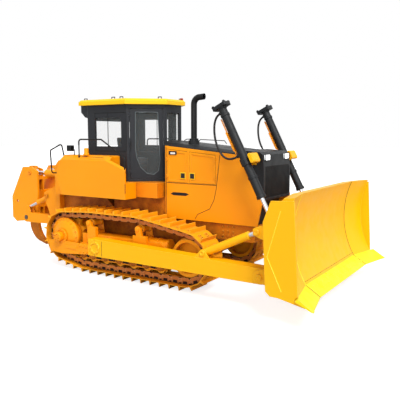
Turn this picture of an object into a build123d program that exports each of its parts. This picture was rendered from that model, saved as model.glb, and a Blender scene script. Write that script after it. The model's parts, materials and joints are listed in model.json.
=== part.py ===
from build123d import *
import math
import os

os.makedirs("parts", exist_ok=True)

# A 50-tonne-class crawler bulldozer with a semi-U blade and a single-shank ripper.
# Millimetres. +X is forward, +Y the machine's left, +Z up. The origin is on the ground
# under the middle of the machine. Places along the machine are given ahead of the
# sprocket axle, and places across it outboard of the centre plane.

# Overall reach from the sprocket axle, which sets where the axle lies
front_reach = 6814
rear_reach = 3090
sprocket_x = (rear_reach - front_reach) / 2

# Track chain
gauge = 2260
shoe_width = 610
shoe_count = 40
shoe_thickness = 20
grouser_height = 88
grouser_width = 26
shoe_seat = 80
rail_drop = 69
rail_inner = 95
rail_outer = 150
shoe_gap = 12
track_mid = gauge / 2

# Wheels that the chain runs round
sprocket_teeth = 12
sprocket_height = 820
idler_place = 3608
idler_height = 685
idler_pin_radius = 495
roller_tread = 118
roller_places = (582, 893, 1292, 1718, 2128, 2523, 2897)
carrier_tread = 110
carrier_places = (835, 2335)
carrier_height = 1200
seat_clearance = 0.3
tread_clearance = 0.5
end_clearance = 5
carrier_clearance = 12
roller_height = grouser_height + shoe_thickness + shoe_seat + rail_drop + roller_tread
chain_pitch = 259.5
sprocket_pin_radius = chain_pitch / (2 * math.sin(math.pi / sprocket_teeth))

# Track frame
frame_half = 160
frame_base = 560
frame_top = 930
guard_thickness = 25

# Push arms, pinned outboard of the tracks
trunnion = (1440, 750)
trunnion_radius = 90
blade_pin = (5570, 700)
blade_pin_radius = 60
arm_inner = 1520
arm_outer = 1800
running_clearance = 0.08

# Blade
blade_top = (6210, 2240)
blade_mid = (6060, 1480)
blade_foot = (6310, 574)
blade_skin = 45
blade_centre_half = 1450
blade_half = 2234
end_plate_thickness = 44
bit_half = blade_half + 93
wing_slope = 0.223
wing_sweep = (blade_half - end_plate_thickness - blade_centre_half) * wing_slope
edge_tip = (6600, 390)
edge_thickness = 32

# Main frame and hood
hull_half = 640
hood_half = 700
panel = 40
hood_rear = 2610
hood_nose = 4480
hood_rear_top = 3040
hood_nose_top = 2870
hood_base = 1400
door_sill = 2230
rear_door = (2670, 3200)
front_door = (3270, 3930)
mask_face = hood_nose + 580
frame_end = hood_nose + 380
frame_lift = 1080

# Lift cylinders
lift_out = 996
lift_yoke = (hood_nose + 340, 2750)
lift_eye = (5620, 1205)
lift_barrel_radius = 85
lift_rod_radius = 42
lift_above = 1273
lift_below = 797
lift_rod_length = 1777

# Braces between push arms and blade
brace_out = 1660
brace_foot = (4290, 975)
brace_eye = (5460, 1505)
brace_radius = 80
brace_rod_radius = 48

# Cab
cab_rear = 470
cab_door_post = 1700
cab_front = 2340
cab_half = 950
cab_front_half = 330
cab_floor = 2200
cab_ceiling = 3980
cab_wall = 60
door_gap = 8
glass_thickness = 8
roof_thickness = 130

# Ripper
ripper_pivot = (-1030, 1020)
carriage_pin = (-2230, 1000)
tilt_base = (-1080, 2240)
tilt_eye = (-2280, 2220)
ripper_trunnion = (-1280, 1660)
ripper_eye = (-2180, 1275)
ripper_arm_out = 620
tow_bore = (-2860, 1390)
tow_bore_radius = 45
tilt_out = 300


def keep(piece, name):
    """Labels a finished piece and writes its file."""
    piece.part.label = name
    export_step(piece.part, f"parts/{name}.step")


def both_sides(right, name):
    """Writes a right-hand piece and its mirror image."""
    keep(right, f"{name}_right")
    with BuildPart() as left:
        mirror(right.part, about=Plane.XZ)
    keep(left, f"{name}_left")


def pair(right, name):
    """Writes a right-hand piece and its mirror image as one piece."""
    with BuildPart() as both:
        add(right.part)
        mirror(right.part, about=Plane.XZ)
    keep(both, name)


def shifted(points):
    """Turns places ahead of the sprocket axle into places along X."""
    return [(sprocket_x + x, z) for x, z in points]


def slab(outline, near, far, mode=Mode.ADD):
    """A side-view outline made solid from one outboard distance to another."""
    with BuildSketch(Plane.XZ.offset(near)) as side:
        with BuildLine():
            Polyline(*shifted(outline), close=True)
        make_face()
    extrude(side.sketch, amount=far - near, mode=mode)


def disc(centre, radius, near, far, mode=Mode.ADD):
    """A round boss or hole across the machine."""
    with BuildSketch(Plane.XZ.offset(near)) as side:
        with Locations(*shifted([centre])):
            Circle(radius)
    extrude(side.sketch, amount=far - near, mode=mode)


def link_plate(ends, near, far, mode=Mode.ADD):
    """The plate that wraps round circles of ((x, z), radius)."""
    with BuildSketch(Plane.XZ.offset(near)) as side:
        for centre, radius in ends:
            with Locations(*shifted([centre])):
                Circle(radius)
        make_hull()
    extrude(side.sketch, amount=far - near, mode=mode)


def turned(centre, steps):
    """A stepped (outboard distance, radius) outline turned about a crosswise axle."""
    x, z = sprocket_x + centre[0], centre[1]
    with BuildSketch(Plane(origin=(x, 0, z), x_dir=(0, -1, 0), z_dir=(-1, 0, 0))) as half:
        with BuildLine():
            Polyline(*steps, close=True)
        make_face()
    revolve(half.sketch, axis=Axis((x, 0, z), (0, 1, 0)))


def box(ahead, out, height, mode=Mode.ADD):
    """A block between two distances ahead, two outboard and two heights."""
    (x0, x1), (y0, y1), (z0, z1) = ahead, out, height
    slab([(x0, z0), (x1, z0), (x1, z1), (x0, z1)], y0, y1, mode)


def toward(start, end, distance):
    """The side-view point at a distance from start on the line to end."""
    run = math.dist(start, end)
    return tuple(a + (b - a) * distance / run for a, b in zip(start, end))


def line_plane(start, end, out, distance=0):
    """A plane square to the line from start to end, at a distance along it."""
    x, z = toward(start, end, distance)
    axis = (end[0] - start[0], 0, end[1] - start[1])
    return Plane(origin=(sprocket_x + x, -out, z), x_dir=(0, -1, 0), z_dir=axis)


def tube(start, end, out, radius, first, last, mode=Mode.ADD):
    """A round bar along the line from start to end, between two distances on it."""
    with BuildSketch(line_plane(start, end, out, first)) as ring:
        Circle(radius)
    extrude(ring.sketch, amount=last - first, mode=mode)


# Door hinges: a pin in two brackets on the frame, and an eye with a leaf on the door
hinge_pin_radius = 8
hinge_eye_radius = 12
hinge_leaf = 32
hinge_half = 20
hinge_bracket = 16


def hinge_plan(wall, along, way, base, depth, hole=0, leaf=True):
    """One hinge piece on a wall, seen from above and extruded up from its base."""
    floor = Plane(origin=wall.origin + Vector(0, 0, base), x_dir=wall.x_dir, z_dir=(0, 0, 1))
    with BuildSketch(floor) as flat:
        with Locations((along, -hinge_eye_radius)):
            Circle(hinge_eye_radius if leaf else hinge_pin_radius)
        if leaf:
            with Locations((along + way * hinge_leaf / 2, -hinge_eye_radius / 2)):
                Rectangle(hinge_leaf, hinge_eye_radius + 4)
        if hole:
            with Locations((along, -hinge_eye_radius)):
                Circle(hole, mode=Mode.SUBTRACT)
    extrude(flat.sketch, amount=depth)


def hinge_eyes(wall, along, way, heights):
    """The door's eyes, with leaves on the side that way points to."""
    for height in heights:
        hole = hinge_pin_radius + running_clearance
        hinge_plan(wall, along, way, height - hinge_half, 2 * hinge_half, hole)


def hinge_brackets(wall, along, way, heights):
    """The frame's brackets and pins, with the brackets away from the door."""
    reach = hinge_half + seat_clearance
    for height in heights:
        hinge_plan(wall, along, -way, height - reach - hinge_bracket, hinge_bracket)
        hinge_plan(wall, along, -way, height + reach, hinge_bracket)
        hinge_plan(wall, along, -way, height - reach - 4, 2 * reach + 8, leaf=False)


# Chain path: a band drawn tight round the wheels

def belt(wheels):
    """Straight runs and arcs of a band round (x, z, radius) wheels, taken clockwise."""
    legs = []
    count = len(wheels)
    touches = []
    for i in range(count):
        x0, z0, r0 = wheels[i]
        x1, z1, r1 = wheels[(i + 1) % count]
        span = math.hypot(x1 - x0, z1 - z0)
        heading = math.atan2(z1 - z0, x1 - x0)
        normal = heading + math.pi / 2 + math.asin((r1 - r0) / span)
        touches.append((normal, (x0, z0, r0), (x1, z1, r1)))
    for i in range(count):
        normal, (x0, z0, r0), (x1, z1, r1) = touches[i]
        after = touches[(i + 1) % count][0]
        start = (x0 + r0 * math.cos(normal), z0 + r0 * math.sin(normal))
        end = (x1 + r1 * math.cos(normal), z1 + r1 * math.sin(normal))
        legs.append(("run", math.dist(start, end), start, end))
        turn = (normal - after) % (2 * math.pi)
        legs.append(("arc", turn * r1, (x1, z1, r1), normal))
    return legs


def on_belt(legs, distance):
    """The point at a distance along the band."""
    for kind, length, first, second in legs:
        if distance <= length:
            if kind == "run":
                return toward(first, second, distance)
            x, z, radius = first
            angle = second - distance / radius
            return (x + radius * math.cos(angle), z + radius * math.sin(angle))
        distance -= length
    return on_belt(legs, distance)


sprocket = (0, sprocket_height)
idler = (idler_place, idler_height)
chain_legs = belt(
    [
        (*sprocket, sprocket_pin_radius),
        (carrier_places[0], carrier_height, carrier_tread + rail_drop),
        (carrier_places[-1], carrier_height, carrier_tread + rail_drop),
        (*idler, idler_pin_radius),
        (roller_places[-1], roller_height, roller_tread + rail_drop),
        (roller_places[0], roller_height, roller_tread + rail_drop),
    ]
)
chain_length = sum(leg[1] for leg in chain_legs)
link_pitch = chain_length / shoe_count
print("chain length", round(chain_length, 1), "pitch", round(link_pitch, 2))
rear_bend = sum(leg[1] for leg in chain_legs[:9]) + chain_legs[9][1] / 2
front_bend = sum(leg[1] for leg in chain_legs[:7]) + chain_legs[7][1] / 2
print("links between the end rollers", round((rear_bend - front_bend) / link_pitch, 3))
pins = [on_belt(chain_legs, rear_bend + link_pitch * i) for i in range(shoe_count)]


def link_points(profile):
    """Repeats (along, outward) points of one link round the whole chain."""
    points = []
    for i, pin in enumerate(pins):
        ahead = pins[(i + 1) % shoe_count]
        span = math.dist(pin, ahead)
        dx, dz = (ahead[0] - pin[0]) / span, (ahead[1] - pin[1]) / span
        mx, mz = (ahead[0] + pin[0]) / 2, (ahead[1] + pin[1]) / 2
        for along, outward in profile:
            points.append((mx + dx * along - dz * outward, mz + dz * along + dx * outward))
    return points


def chain_band(outer, inner, near, far):
    """A closed band round the chain between an outer and an inner link profile."""
    with BuildSketch(Plane.XZ.offset(near)) as ring:
        with BuildLine():
            Polyline(*shifted(link_points(outer)), close=True)
        make_face()
        with BuildLine():
            Polyline(*shifted(link_points(inner)), close=True)
        make_face(mode=Mode.SUBTRACT)
    extrude(ring.sketch, amount=far - near)


half_shoe = (chain_pitch - shoe_gap) / 2
plate_top = shoe_seat + shoe_thickness
grouser_tip = plate_top + grouser_height
grouser_place = 62
shoe_profile = [
    (-half_shoe, plate_top),
    (grouser_place - grouser_width, plate_top),
    (grouser_place - grouser_width / 4, grouser_tip),
    (grouser_place + grouser_width / 4, grouser_tip),
    (grouser_place + grouser_width, plate_top),
    (half_shoe, plate_top),
]
rail_knuckle = 85

with BuildPart() as track:
    chain_band(
        shoe_profile,
        [(-half_shoe, shoe_seat), (half_shoe, shoe_seat)],
        track_mid - shoe_width / 2,
        track_mid + shoe_width / 2,
    )
    for side in (-1, 1):
        low, high = sorted((track_mid + side * rail_inner, track_mid + side * rail_outer))
        chain_band(
            [(0, shoe_seat)],
            [(-rail_knuckle, -rail_drop), (rail_knuckle, -rail_drop)],
            low,
            high,
        )
both_sides(track, "track")

# Track rollers and carrier rollers
axle_half = frame_half
with BuildPart() as rollers:
    for place in roller_places:
        at_end = place in (roller_places[0], roller_places[-1])
        tread = roller_tread - (end_clearance if at_end else tread_clearance)
        turned(
            (place, roller_height),
            [
                (track_mid - axle_half, 0),
                (track_mid - axle_half, 45),
                (track_mid - rail_outer, 45),
                (track_mid - rail_outer, tread),
                (track_mid - rail_inner + 8, tread),
                (track_mid - rail_inner + 8, roller_tread + 20),
                (track_mid - rail_inner + 30, roller_tread + 20),
                (track_mid - rail_inner + 30, 95),
                (track_mid + rail_inner - 30, 95),
                (track_mid + rail_inner - 30, roller_tread + 20),
                (track_mid + rail_inner - 8, roller_tread + 20),
                (track_mid + rail_inner - 8, tread),
                (track_mid + rail_outer, tread),
                (track_mid + rail_outer, 45),
                (track_mid + axle_half, 45),
                (track_mid + axle_half, 0),
            ],
        )
    for place in carrier_places:
        turned(
            (place, carrier_height),
            [
                (track_mid - axle_half, 0),
                (track_mid - axle_half, 40),
                (track_mid - rail_outer, 40),
                (track_mid - rail_outer, carrier_tread - carrier_clearance),
                (track_mid - rail_inner + 8, carrier_tread - carrier_clearance),
                (track_mid - rail_inner + 8, 80),
                (track_mid + rail_inner - 8, 80),
                (track_mid + rail_inner - 8, carrier_tread - carrier_clearance),
                (track_mid + rail_outer, carrier_tread - carrier_clearance),
                (track_mid + rail_outer, 70),
                (track_mid + rail_outer + 20, 55),
                (track_mid + rail_outer + 20, 0),
            ],
        )
pair(rollers, "rollers")

# Idler
idler_tread = math.sqrt(idler_pin_radius**2 - (chain_pitch / 2) ** 2) - rail_drop - 1
yoke_inner = 200
idler_steps = [
    (-yoke_inner + seat_clearance, 0),
    (-yoke_inner + seat_clearance, 110),
    (-60, 110),
    (-40, idler_tread - 80),
    (-rail_outer, idler_tread - 70),
    (-rail_outer, idler_tread),
    (-rail_inner + 12, idler_tread),
    (-rail_inner + 12, idler_tread + 24),
]
with BuildPart() as idler_wheel:
    left_half = [(track_mid + o, r) for o, r in idler_steps]
    right_half = [(track_mid - o, r) for o, r in reversed(idler_steps)]
    turned(idler, left_half + right_half)
pair(idler_wheel, "idlers")

# Sprocket: a toothed ring between the final drive's drum and its cover
sprocket_half = 50
sprocket_bore = 376
tooth_root = sprocket_pin_radius - 52
tooth_tip = sprocket_pin_radius + 30
pin_angles = [math.atan2(z - sprocket_height, x) for x, z in pins if x < 0]
first_pin = sorted(pin_angles, key=lambda a: abs(abs(a) - math.pi))[0]
tooth_step = 2 * math.pi / sprocket_teeth


def tooth_points():
    """Root and tip points of the teeth, with the gaps on the chain's pins."""
    points = []
    for tooth in range(sprocket_teeth):
        middle = first_pin + (tooth + 0.5) * tooth_step
        for turn, radius in ((-0.34, tooth_root), (-0.11, tooth_tip), (0.11, tooth_tip), (0.34, tooth_root)):
            angle = middle + turn * tooth_step
            points.append((radius * math.cos(angle), sprocket_height + radius * math.sin(angle)))
    return points


with BuildPart() as sprocket_ring:
    slab(tooth_points(), track_mid - sprocket_half, track_mid + sprocket_half)
    disc(sprocket, sprocket_bore, track_mid - sprocket_half, track_mid + sprocket_half, Mode.SUBTRACT)
pair(sprocket_ring, "sprockets")

# Final drive: drum, cover and outboard hub
drum_radius = 400
cover_radius = 445
hub_radius = 120
hub_face = 1600
with BuildPart() as final_drive:
    turned(
        sprocket,
        [
            (hull_half, 0),
            (hull_half, 330),
            (720, drum_radius),
            (track_mid - sprocket_half - seat_clearance, drum_radius),
            (track_mid - sprocket_half - seat_clearance, sprocket_bore - seat_clearance),
            (track_mid + sprocket_half + seat_clearance, sprocket_bore - seat_clearance),
            (track_mid + sprocket_half + seat_clearance, drum_radius),
            (track_mid + rail_outer + 10, drum_radius),
            (track_mid + rail_outer + 10, cover_radius),
            (track_mid + rail_outer + 60, cover_radius),
            (1400, 330),
            (1435, 210),
            (1448, hub_radius),
            (hub_face, hub_radius),
            (hub_face, 0),
        ],
    )
pair(final_drive, "final_drives")

# Track frame: box, roller guards, idler yoke, carrier posts, trunnion and hub bracket
frame_rear = 550
guard_rear = 470
frame_front = 2960
post_outer = 1390
with BuildPart() as track_frame:
    slab(
        [
            (frame_rear, frame_base),
            (frame_front, frame_base),
            (frame_front + 100, 640),
            (frame_front + 100, 830),
            (frame_front - 60, frame_top),
            (frame_rear, frame_top),
        ],
        track_mid - frame_half,
        track_mid + frame_half,
    )
    for near in (track_mid - frame_half - guard_thickness, track_mid + frame_half):
        slab(
            [
                (guard_rear, 325),
                (roller_places[-1] + 60, 325),
                (frame_front, 440),
                (frame_front, 700),
                (guard_rear, 700),
            ],
            near,
            near + guard_thickness,
        )
    for near in (track_mid - yoke_inner - 40, track_mid + yoke_inner):
        slab(
            [
                (frame_front - 60, 600),
                (idler_place + 130, 625),
                (idler_place + 130, 745),
                (frame_front + 60, 850),
                (frame_front - 60, 850),
            ],
            near,
            near + 40,
        )
    box((frame_front - 60, frame_front + 60), (track_mid - yoke_inner - 40, track_mid + yoke_inner + 40), (640, 830))
    for place in carrier_places:
        slab(
            [
                (place - 110, frame_top),
                (place + 110, frame_top),
                (place + 60, carrier_height + 50),
                (place - 60, carrier_height + 50),
            ],
            track_mid - frame_half - guard_thickness,
            track_mid - frame_half,
        )
        box((place - 110, place + 110), (track_mid - frame_half - guard_thickness, track_mid + frame_half), (900, 1000))
    disc(trunnion, trunnion_radius + 60, track_mid + frame_half, arm_inner - 10)
    disc(trunnion, trunnion_radius, track_mid + frame_half, arm_outer)
    disc(sprocket, 190, 1455, 1495)
    slab(
        [
            (-430, 690),
            (-308, 705),
            (-150, 740),
            (150, 720),
            (925, 700),
            (925, 475),
            (560, 440),
            (50, 400),
            (-385, 420),
        ],
        1455,
        1495,
    )
    disc(sprocket, hub_radius + seat_clearance, 1455, 1495, Mode.SUBTRACT)
    box((600, 900), (track_mid + frame_half, 1495), (560, 700))
    for place, rear, front, top in zip(carrier_places, (-35, -135), (225, 225), (1125, 1050)):
        box((place + rear, place + front), (track_mid + frame_half, post_outer), (frame_base + 100, top))
        clamp = [((place, carrier_height), 72), ((place + 40, top - 60), 60)]
        link_plate(clamp, track_mid + rail_outer + 20, post_outer)
    with BuildSketch(Plane.YZ.offset(sprocket_x + 2480)) as housing:
        with Locations((-track_mid, 860)):
            Circle(140)
    extrude(housing.sketch, amount=580)
pair(track_frame, "track_frames")

# Main frame: rear case, side rails, front cross member
case_rear = -760
with BuildPart() as main_frame:
    slab(
        [
            (case_rear, 640),
            (-400, 500),
            (1000, 500),
            (1000, 1500),
            (700, 1760),
            (case_rear, 1760),
        ],
        -hull_half,
        hull_half,
    )
    for near in (-hull_half, hull_half - 140):
        slab(
            [
                (1000, 640),
                (3650, 640),
                (3950, frame_lift),
                (frame_end, frame_lift),
                (frame_end, hood_base),
                (1000, hood_base),
            ],
            near,
            near + 140,
        )
    box((frame_end - 200, frame_end), (-hull_half, hull_half), (frame_lift, hood_base))
keep(main_frame, "main_frame")

with BuildPart() as belly_guard:
    slab(
        [
            (1000, 600),
            (3673, 600),
            (3973, frame_lift - 40),
            (frame_end, frame_lift - 40),
            (frame_end, frame_lift - seat_clearance),
            (3950, frame_lift - seat_clearance),
            (3650, 640 - seat_clearance),
            (1000, 640 - seat_clearance),
        ],
        -hull_half,
        hull_half,
    )
keep(belly_guard, "belly_guard")

with BuildPart() as equalizer_bar:
    slab([(2640, 650), (2800, 650), (2800, 900), (2640, 900)], -hull_half + 140, hull_half - 140)
    for side in (-1, 1):
        low, high = sorted((side * hull_half, side * (track_mid - frame_half - guard_thickness - seat_clearance)))
        box((2640, 2800), (low, high), (700, 900))
keep(equalizer_bar, "equalizer_bar")

with BuildPart() as pivot_shaft:
    for side in (-1, 1):
        low, high = sorted((side * hull_half, side * (track_mid - frame_half - guard_thickness)))
        disc((900, 760), 110, low, high)
keep(pivot_shaft, "pivot_shaft")

with BuildPart() as engine_block:
    box((2750, hood_nose - 180), (-380, 380), (1150, 2500))
    box((3000, 3200), (-hull_half + 140, hull_half - 140), (1150, 1260))
    box((4000, 4200), (-hull_half + 140, hull_half - 140), (1150, 1260))
keep(engine_block, "engine_block")

with BuildPart() as radiator:
    box((frame_end - 140, frame_end - 10), (-560, 560), (hood_base, 2700))
keep(radiator, "radiator")

# Hood sides, doors and guard
hood_slope = (hood_nose_top - hood_rear_top) / (hood_nose - hood_rear)


def hood_edge(place, drop=0):
    """A point on the hood side's top edge, or some way below it."""
    return (place, hood_rear_top + hood_slope * (place - hood_rear) - drop)



def door_outline(span, grow=0):
    """An engine door's outline, grown all round."""
    low, high = span[0] - grow, span[1] + grow
    top = 75 - grow
    return [(low, door_sill - grow), (high, door_sill - grow), hood_edge(high, top), hood_edge(low, top)]


hood_wall = Plane(origin=(sprocket_x, -hood_half, 0), x_dir=(1, 0, 0), z_dir=(0, -1, 0))
engine_hinges = {"engine_door_rear": (rear_door[0], 1), "engine_door_front": (front_door[1], -1)}
engine_hinge_heights = (2360, 2740)
with BuildPart() as hood_side:
    slab(
        [
            (hood_rear, hood_base),
            (hood_nose + 460, hood_base),
            (hood_nose + 580, 1980),
            (hood_nose, hood_nose_top),
            (hood_rear, hood_rear_top),
        ],
        hood_half - panel,
        hood_half,
    )
    for span in (rear_door, front_door):
        slab(door_outline(span, door_gap), hood_half - panel, hood_half, Mode.SUBTRACT)
    for edge, way in engine_hinges.values():
        hinge_brackets(hood_wall, edge - way * door_gap / 2, way, engine_hinge_heights)
pair(hood_side, "hood_sides")

for name, span in (("engine_door_rear", rear_door), ("engine_door_front", front_door)):
    with BuildPart() as engine_door:
        slab(door_outline(span), hood_half - panel + 4, hood_half)
        slab(door_outline(span, -50), hood_half - 12, hood_half, Mode.SUBTRACT)
        edge, way = engine_hinges[name]
        hinge_eyes(hood_wall, edge - way * door_gap / 2, way, engine_hinge_heights)
    both_sides(engine_door, name)

# Radiator mask and grille
mask_half = hood_half - panel
grille_half = 600
grille_low = 1990
grille_high = 2640


def lamp_outline():
    """The two head lamps' outline, seen from the front."""
    with BuildSketch(Plane.YZ.offset(sprocket_x + mask_face - 70)) as face:
        with Locations((-476, 2822), (476, 2822)):
            RectangleRounded(230, 110, 25)
    return face.sketch


with BuildPart() as mask:
    slab(
        [
            (hood_nose + 8, hood_nose_top - 6),
            (hood_nose - 60, hood_nose_top - 6),
            (mask_face - 120, 1960),
            (mask_face - 30, 1940),
            (mask_face, 1940),
            (mask_face, 2560),
            (mask_face - 30, 2880),
            (mask_face - 100, 2930),
            (hood_nose + 24, 2965),
        ],
        -mask_half,
        mask_half,
    )
    slab(
        [
            (hood_nose - 80, hood_nose_top - 40),
            (mask_face - 160, 1900),
            (mask_face - 40, 1900),
            (mask_face - 40, 2560),
            (mask_face - 70, 2850),
            (mask_face - 120, 2890),
            (hood_nose - 80, 2925),
        ],
        -mask_half + panel,
        mask_half - panel,
        Mode.SUBTRACT,
    )
    box((mask_face - 70, mask_face + 100), (-grille_half, grille_half), (grille_low, grille_high), Mode.SUBTRACT)
    lamp_faces = lamp_outline()
    extrude(lamp_faces, amount=170, mode=Mode.SUBTRACT)
keep(mask, "radiator_mask")

with BuildPart() as grille:
    slat_count = 24
    slat_pitch = 2 * grille_half / slat_count
    for i in range(slat_count):
        edge = -grille_half + slat_pitch * (i + 0.25)
        box((mask_face - 34, mask_face - 8), (edge, edge + slat_pitch * 0.5), (grille_low, grille_high))
    for height in (grille_low, 2140, 2300, 2460, grille_high - 30):
        box((mask_face - 44, mask_face - 30), (-grille_half, grille_half), (height, height + 30))
keep(grille, "grille")

with BuildPart() as head_lamps:
    extrude(lamp_outline(), amount=62)
keep(head_lamps, "head_lamps")

# Hood top, crowned and sloping down to the nose
hood_start = 2420
stack_place = 3160
stack_out = 350
stack_radius = 68
stack_foot = 3160
stack_knee = 3960
with BuildPart() as hood_top:
    slope = math.atan(hood_slope)
    start_z = hood_rear_top + hood_slope * (hood_start - hood_rear)
    crown = [(hood_half, 0), (hood_half, 20), (560, 75), (0, 100)]
    across = [(-o, h) for o, h in crown] + [(o, h) for o, h in reversed(crown[:-1])]
    base = Plane(
        origin=(sprocket_x + hood_start, 0, start_z),
        x_dir=(0, 1, 0),
        z_dir=(math.cos(slope), 0, math.sin(slope)),
    )
    with BuildSketch(base) as section:
        with BuildLine():
            Polyline(*across, close=True)
        make_face()
    extrude(section.sketch, amount=(hood_nose - hood_start) / math.cos(slope))
    with BuildSketch(Plane(origin=(sprocket_x + stack_place, -stack_out, 3050))) as boss:
        Circle(125)
    extrude(boss.sketch, amount=stack_foot - 3050)
    for side in (-1, 1):
        with BuildSketch(Plane.XY.offset(2900)) as corner:
            with BuildLine():
                Polyline(
                    (sprocket_x + hood_start - 50, side * 450),
                    (sprocket_x + hood_start - 50, side * 800),
                    (sprocket_x + hood_rear - 40, side * 800),
                    (sprocket_x + hood_rear - 40, side * (hood_half + 1)),
                    (sprocket_x + hood_start, side * 470),
                    close=True,
                )
            make_face()
        extrude(corner.sketch, amount=500, mode=Mode.SUBTRACT)
keep(hood_top, "hood_top")

with BuildPart() as cowl:
    box((hood_rear, hood_rear + panel), (-mask_half, mask_half), (hood_base, 3000))
keep(cowl, "cowl")

# Exhaust stack with a forward elbow
with BuildPart() as exhaust:
    with BuildLine() as route:
        foot = (sprocket_x + stack_place, -stack_out, stack_foot + 20)
        knee = (sprocket_x + stack_place, -stack_out, stack_knee)
        Line(foot, knee)
        bend = ThreePointArc(
            knee,
            (sprocket_x + stack_place + 50, -stack_out, stack_knee + 110),
            (sprocket_x + stack_place + 160, -stack_out, stack_knee + 150),
        )
        Line(bend @ 1, (sprocket_x + stack_place + 270, -stack_out, stack_knee + 160))
    with BuildSketch(Plane(origin=foot, z_dir=(0, 0, 1))) as pipe:
        Circle(stack_radius)
        Circle(stack_radius - 8, mode=Mode.SUBTRACT)
    sweep(pipe.sketch, path=route.line)
    with BuildSketch(Plane(origin=(sprocket_x + stack_place, -stack_out, stack_foot))) as flange:
        Circle(100)
    extrude(flange.sketch, amount=40)
keep(exhaust, "exhaust")

# Deck, fuel tank and fender tanks
deck_base = 1860
with BuildPart() as deck:
    slab([(200, deck_base), (2560, deck_base), (2560, cab_floor), (200, cab_floor)], -cab_half, cab_half)
    box((300, 900), (-hull_half, hull_half), (1760, deck_base))
    box((hood_rear - 50, hood_rear), (-hull_half, hull_half), (hood_base, cab_floor))
    for low, high in ((hull_half - 40, hull_half), (-hull_half, -hull_half + 40)):
        box((1000, hood_rear), (low, high), (1500, deck_base))
        box((1001, hood_rear), (low, high), (hood_base, 1500))
keep(deck, "deck")

tank_rear = -755
with BuildPart() as fuel_tank:
    slab([(tank_rear, 1760), (200, 1760), (200, 2560), (120, 2640), (-600, 2640), (tank_rear, 2480)], -940, 940)
keep(fuel_tank, "fuel_tank")

fender_inner = 956
fender_outer = 1350
fender_top = 2800
with BuildPart() as fender:
    slab(
        [
            (-70, 1830),
            (1960, 1830),
            (1960, 2600),
            (1420, fender_top),
            (-40, fender_top),
            (-250, 2300),
        ],
        fender_inner,
        fender_outer,
    )
    outer_edges = fender.edges().filter_by(
        lambda e: abs(e.center().Y + fender_outer) < 1 and e.center().Z > 2650
    )
    chamfer(outer_edges, length=110)
    box((1480, 1970), (fender_inner - 10, fender_outer - 45), (cab_floor, 2900), Mode.SUBTRACT)
pair(fender, "fenders")

# Cab shell: six-sided, with posts, sills and headers
door_base = toward((cab_door_post, -cab_half), (cab_front, -cab_front_half), 0)
door_run = math.hypot(cab_front - cab_door_post, cab_half - cab_front_half)
door_along = ((cab_front - cab_door_post) / door_run, (cab_half - cab_front_half) / door_run)


def cab_plan(inset=0):
    """The cab's plan, moved inward."""
    with BuildSketch(Plane.XY) as plan:
        with BuildLine():
            Polyline(
                *[
                    (sprocket_x + x, y)
                    for x, y in (
                        (cab_rear, -cab_half),
                        (cab_door_post, -cab_half),
                        (cab_front, -cab_front_half),
                        (cab_front, cab_front_half),
                        (cab_door_post, cab_half),
                        (cab_rear, cab_half),
                    )
                ],
                close=True,
            )
        make_face()
        if inset:
            offset(amount=-inset, kind=Kind.INTERSECTION, mode=Mode.REPLACE)
    return plan.sketch


def door_wall(depth=0):
    """The right door wall's outer plane, or one some way inside it."""
    dx, dy = door_along
    origin = (sprocket_x + cab_door_post - dy * depth, -cab_half + dx * depth, 0)
    return Plane(origin=origin, x_dir=(dx, dy, 0), z_dir=(dy, -dx, 0))


def on_door(low, high, base, top, depth, thick, mode, corner=0):
    """A rounded block in the door wall, from a depth inside it, inward."""
    with BuildSketch(door_wall(depth)) as face:
        with Locations(((low + high) / 2, (base + top) / 2)):
            if corner:
                RectangleRounded(high - low, top - base, corner)
            else:
                Rectangle(high - low, top - base)
    extrude(face.sketch, amount=-thick, mode=mode)


door_low = 70
door_high = door_run - 50
door_sole = 2270
cab_hinge_heights = (2420, 3080, 3740)
door_head = 3880
with BuildPart() as cab_right_half:
    extrude(cab_plan().moved(Location((0, 0, cab_floor))), amount=cab_ceiling - cab_floor)
    extrude(
        cab_plan(cab_wall).moved(Location((0, 0, cab_floor + 40))),
        amount=cab_ceiling - cab_floor - 40,
        mode=Mode.SUBTRACT,
    )
    box((cab_rear + 235, cab_door_post - 170), (cab_half - 100, cab_half + 10), (3010, 3680), Mode.SUBTRACT)
    box((cab_rear - 10, cab_rear + 100), (-750, 750), (2900, 3620), Mode.SUBTRACT)
    box((cab_front - 100, cab_front + 10), (-cab_front_half + 75, cab_front_half - 75), (3120, 3800), Mode.SUBTRACT)
    on_door(
        door_low - door_gap,
        door_high + door_gap,
        door_sole - door_gap,
        door_head + door_gap,
        -20,
        150,
        Mode.SUBTRACT,
    )
    split(bisect_by=Plane.XZ, keep=Keep.TOP)
    hinge_brackets(door_wall(), door_low - door_gap / 2, 1, cab_hinge_heights)
with BuildPart() as cab_shell:
    add(cab_right_half.part)
    mirror(cab_right_half.part, about=Plane.XZ)
keep(cab_shell, "cab_shell")

door_window = [
    (205, 3800),
    (720, 3800),
    (765, 2700),
    (730, 2450),
    (620, 2360),
    (460, 2385),
    (315, 2520),
    (225, 2750),
    (195, 2935),
]


def window_face(depth):
    """The door window's outline at a depth inside the door wall."""
    with BuildSketch(door_wall(depth)) as face:
        with BuildLine():
            Polyline(*door_window, close=True)
        make_face()
        fillet(face.vertices(), radius=45)
    return face.sketch


with BuildPart() as cab_door:
    on_door(door_low, door_high, door_sole, door_head, 0, 50, Mode.ADD)
    hinge_eyes(door_wall(), door_low - door_gap / 2, 1, cab_hinge_heights)
    extrude(window_face(-20), amount=-120, mode=Mode.SUBTRACT)
both_sides(cab_door, "cab_door")

with BuildPart() as door_glass:
    extrude(window_face(20), amount=-glass_thickness)
both_sides(door_glass, "door_glass")

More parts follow.
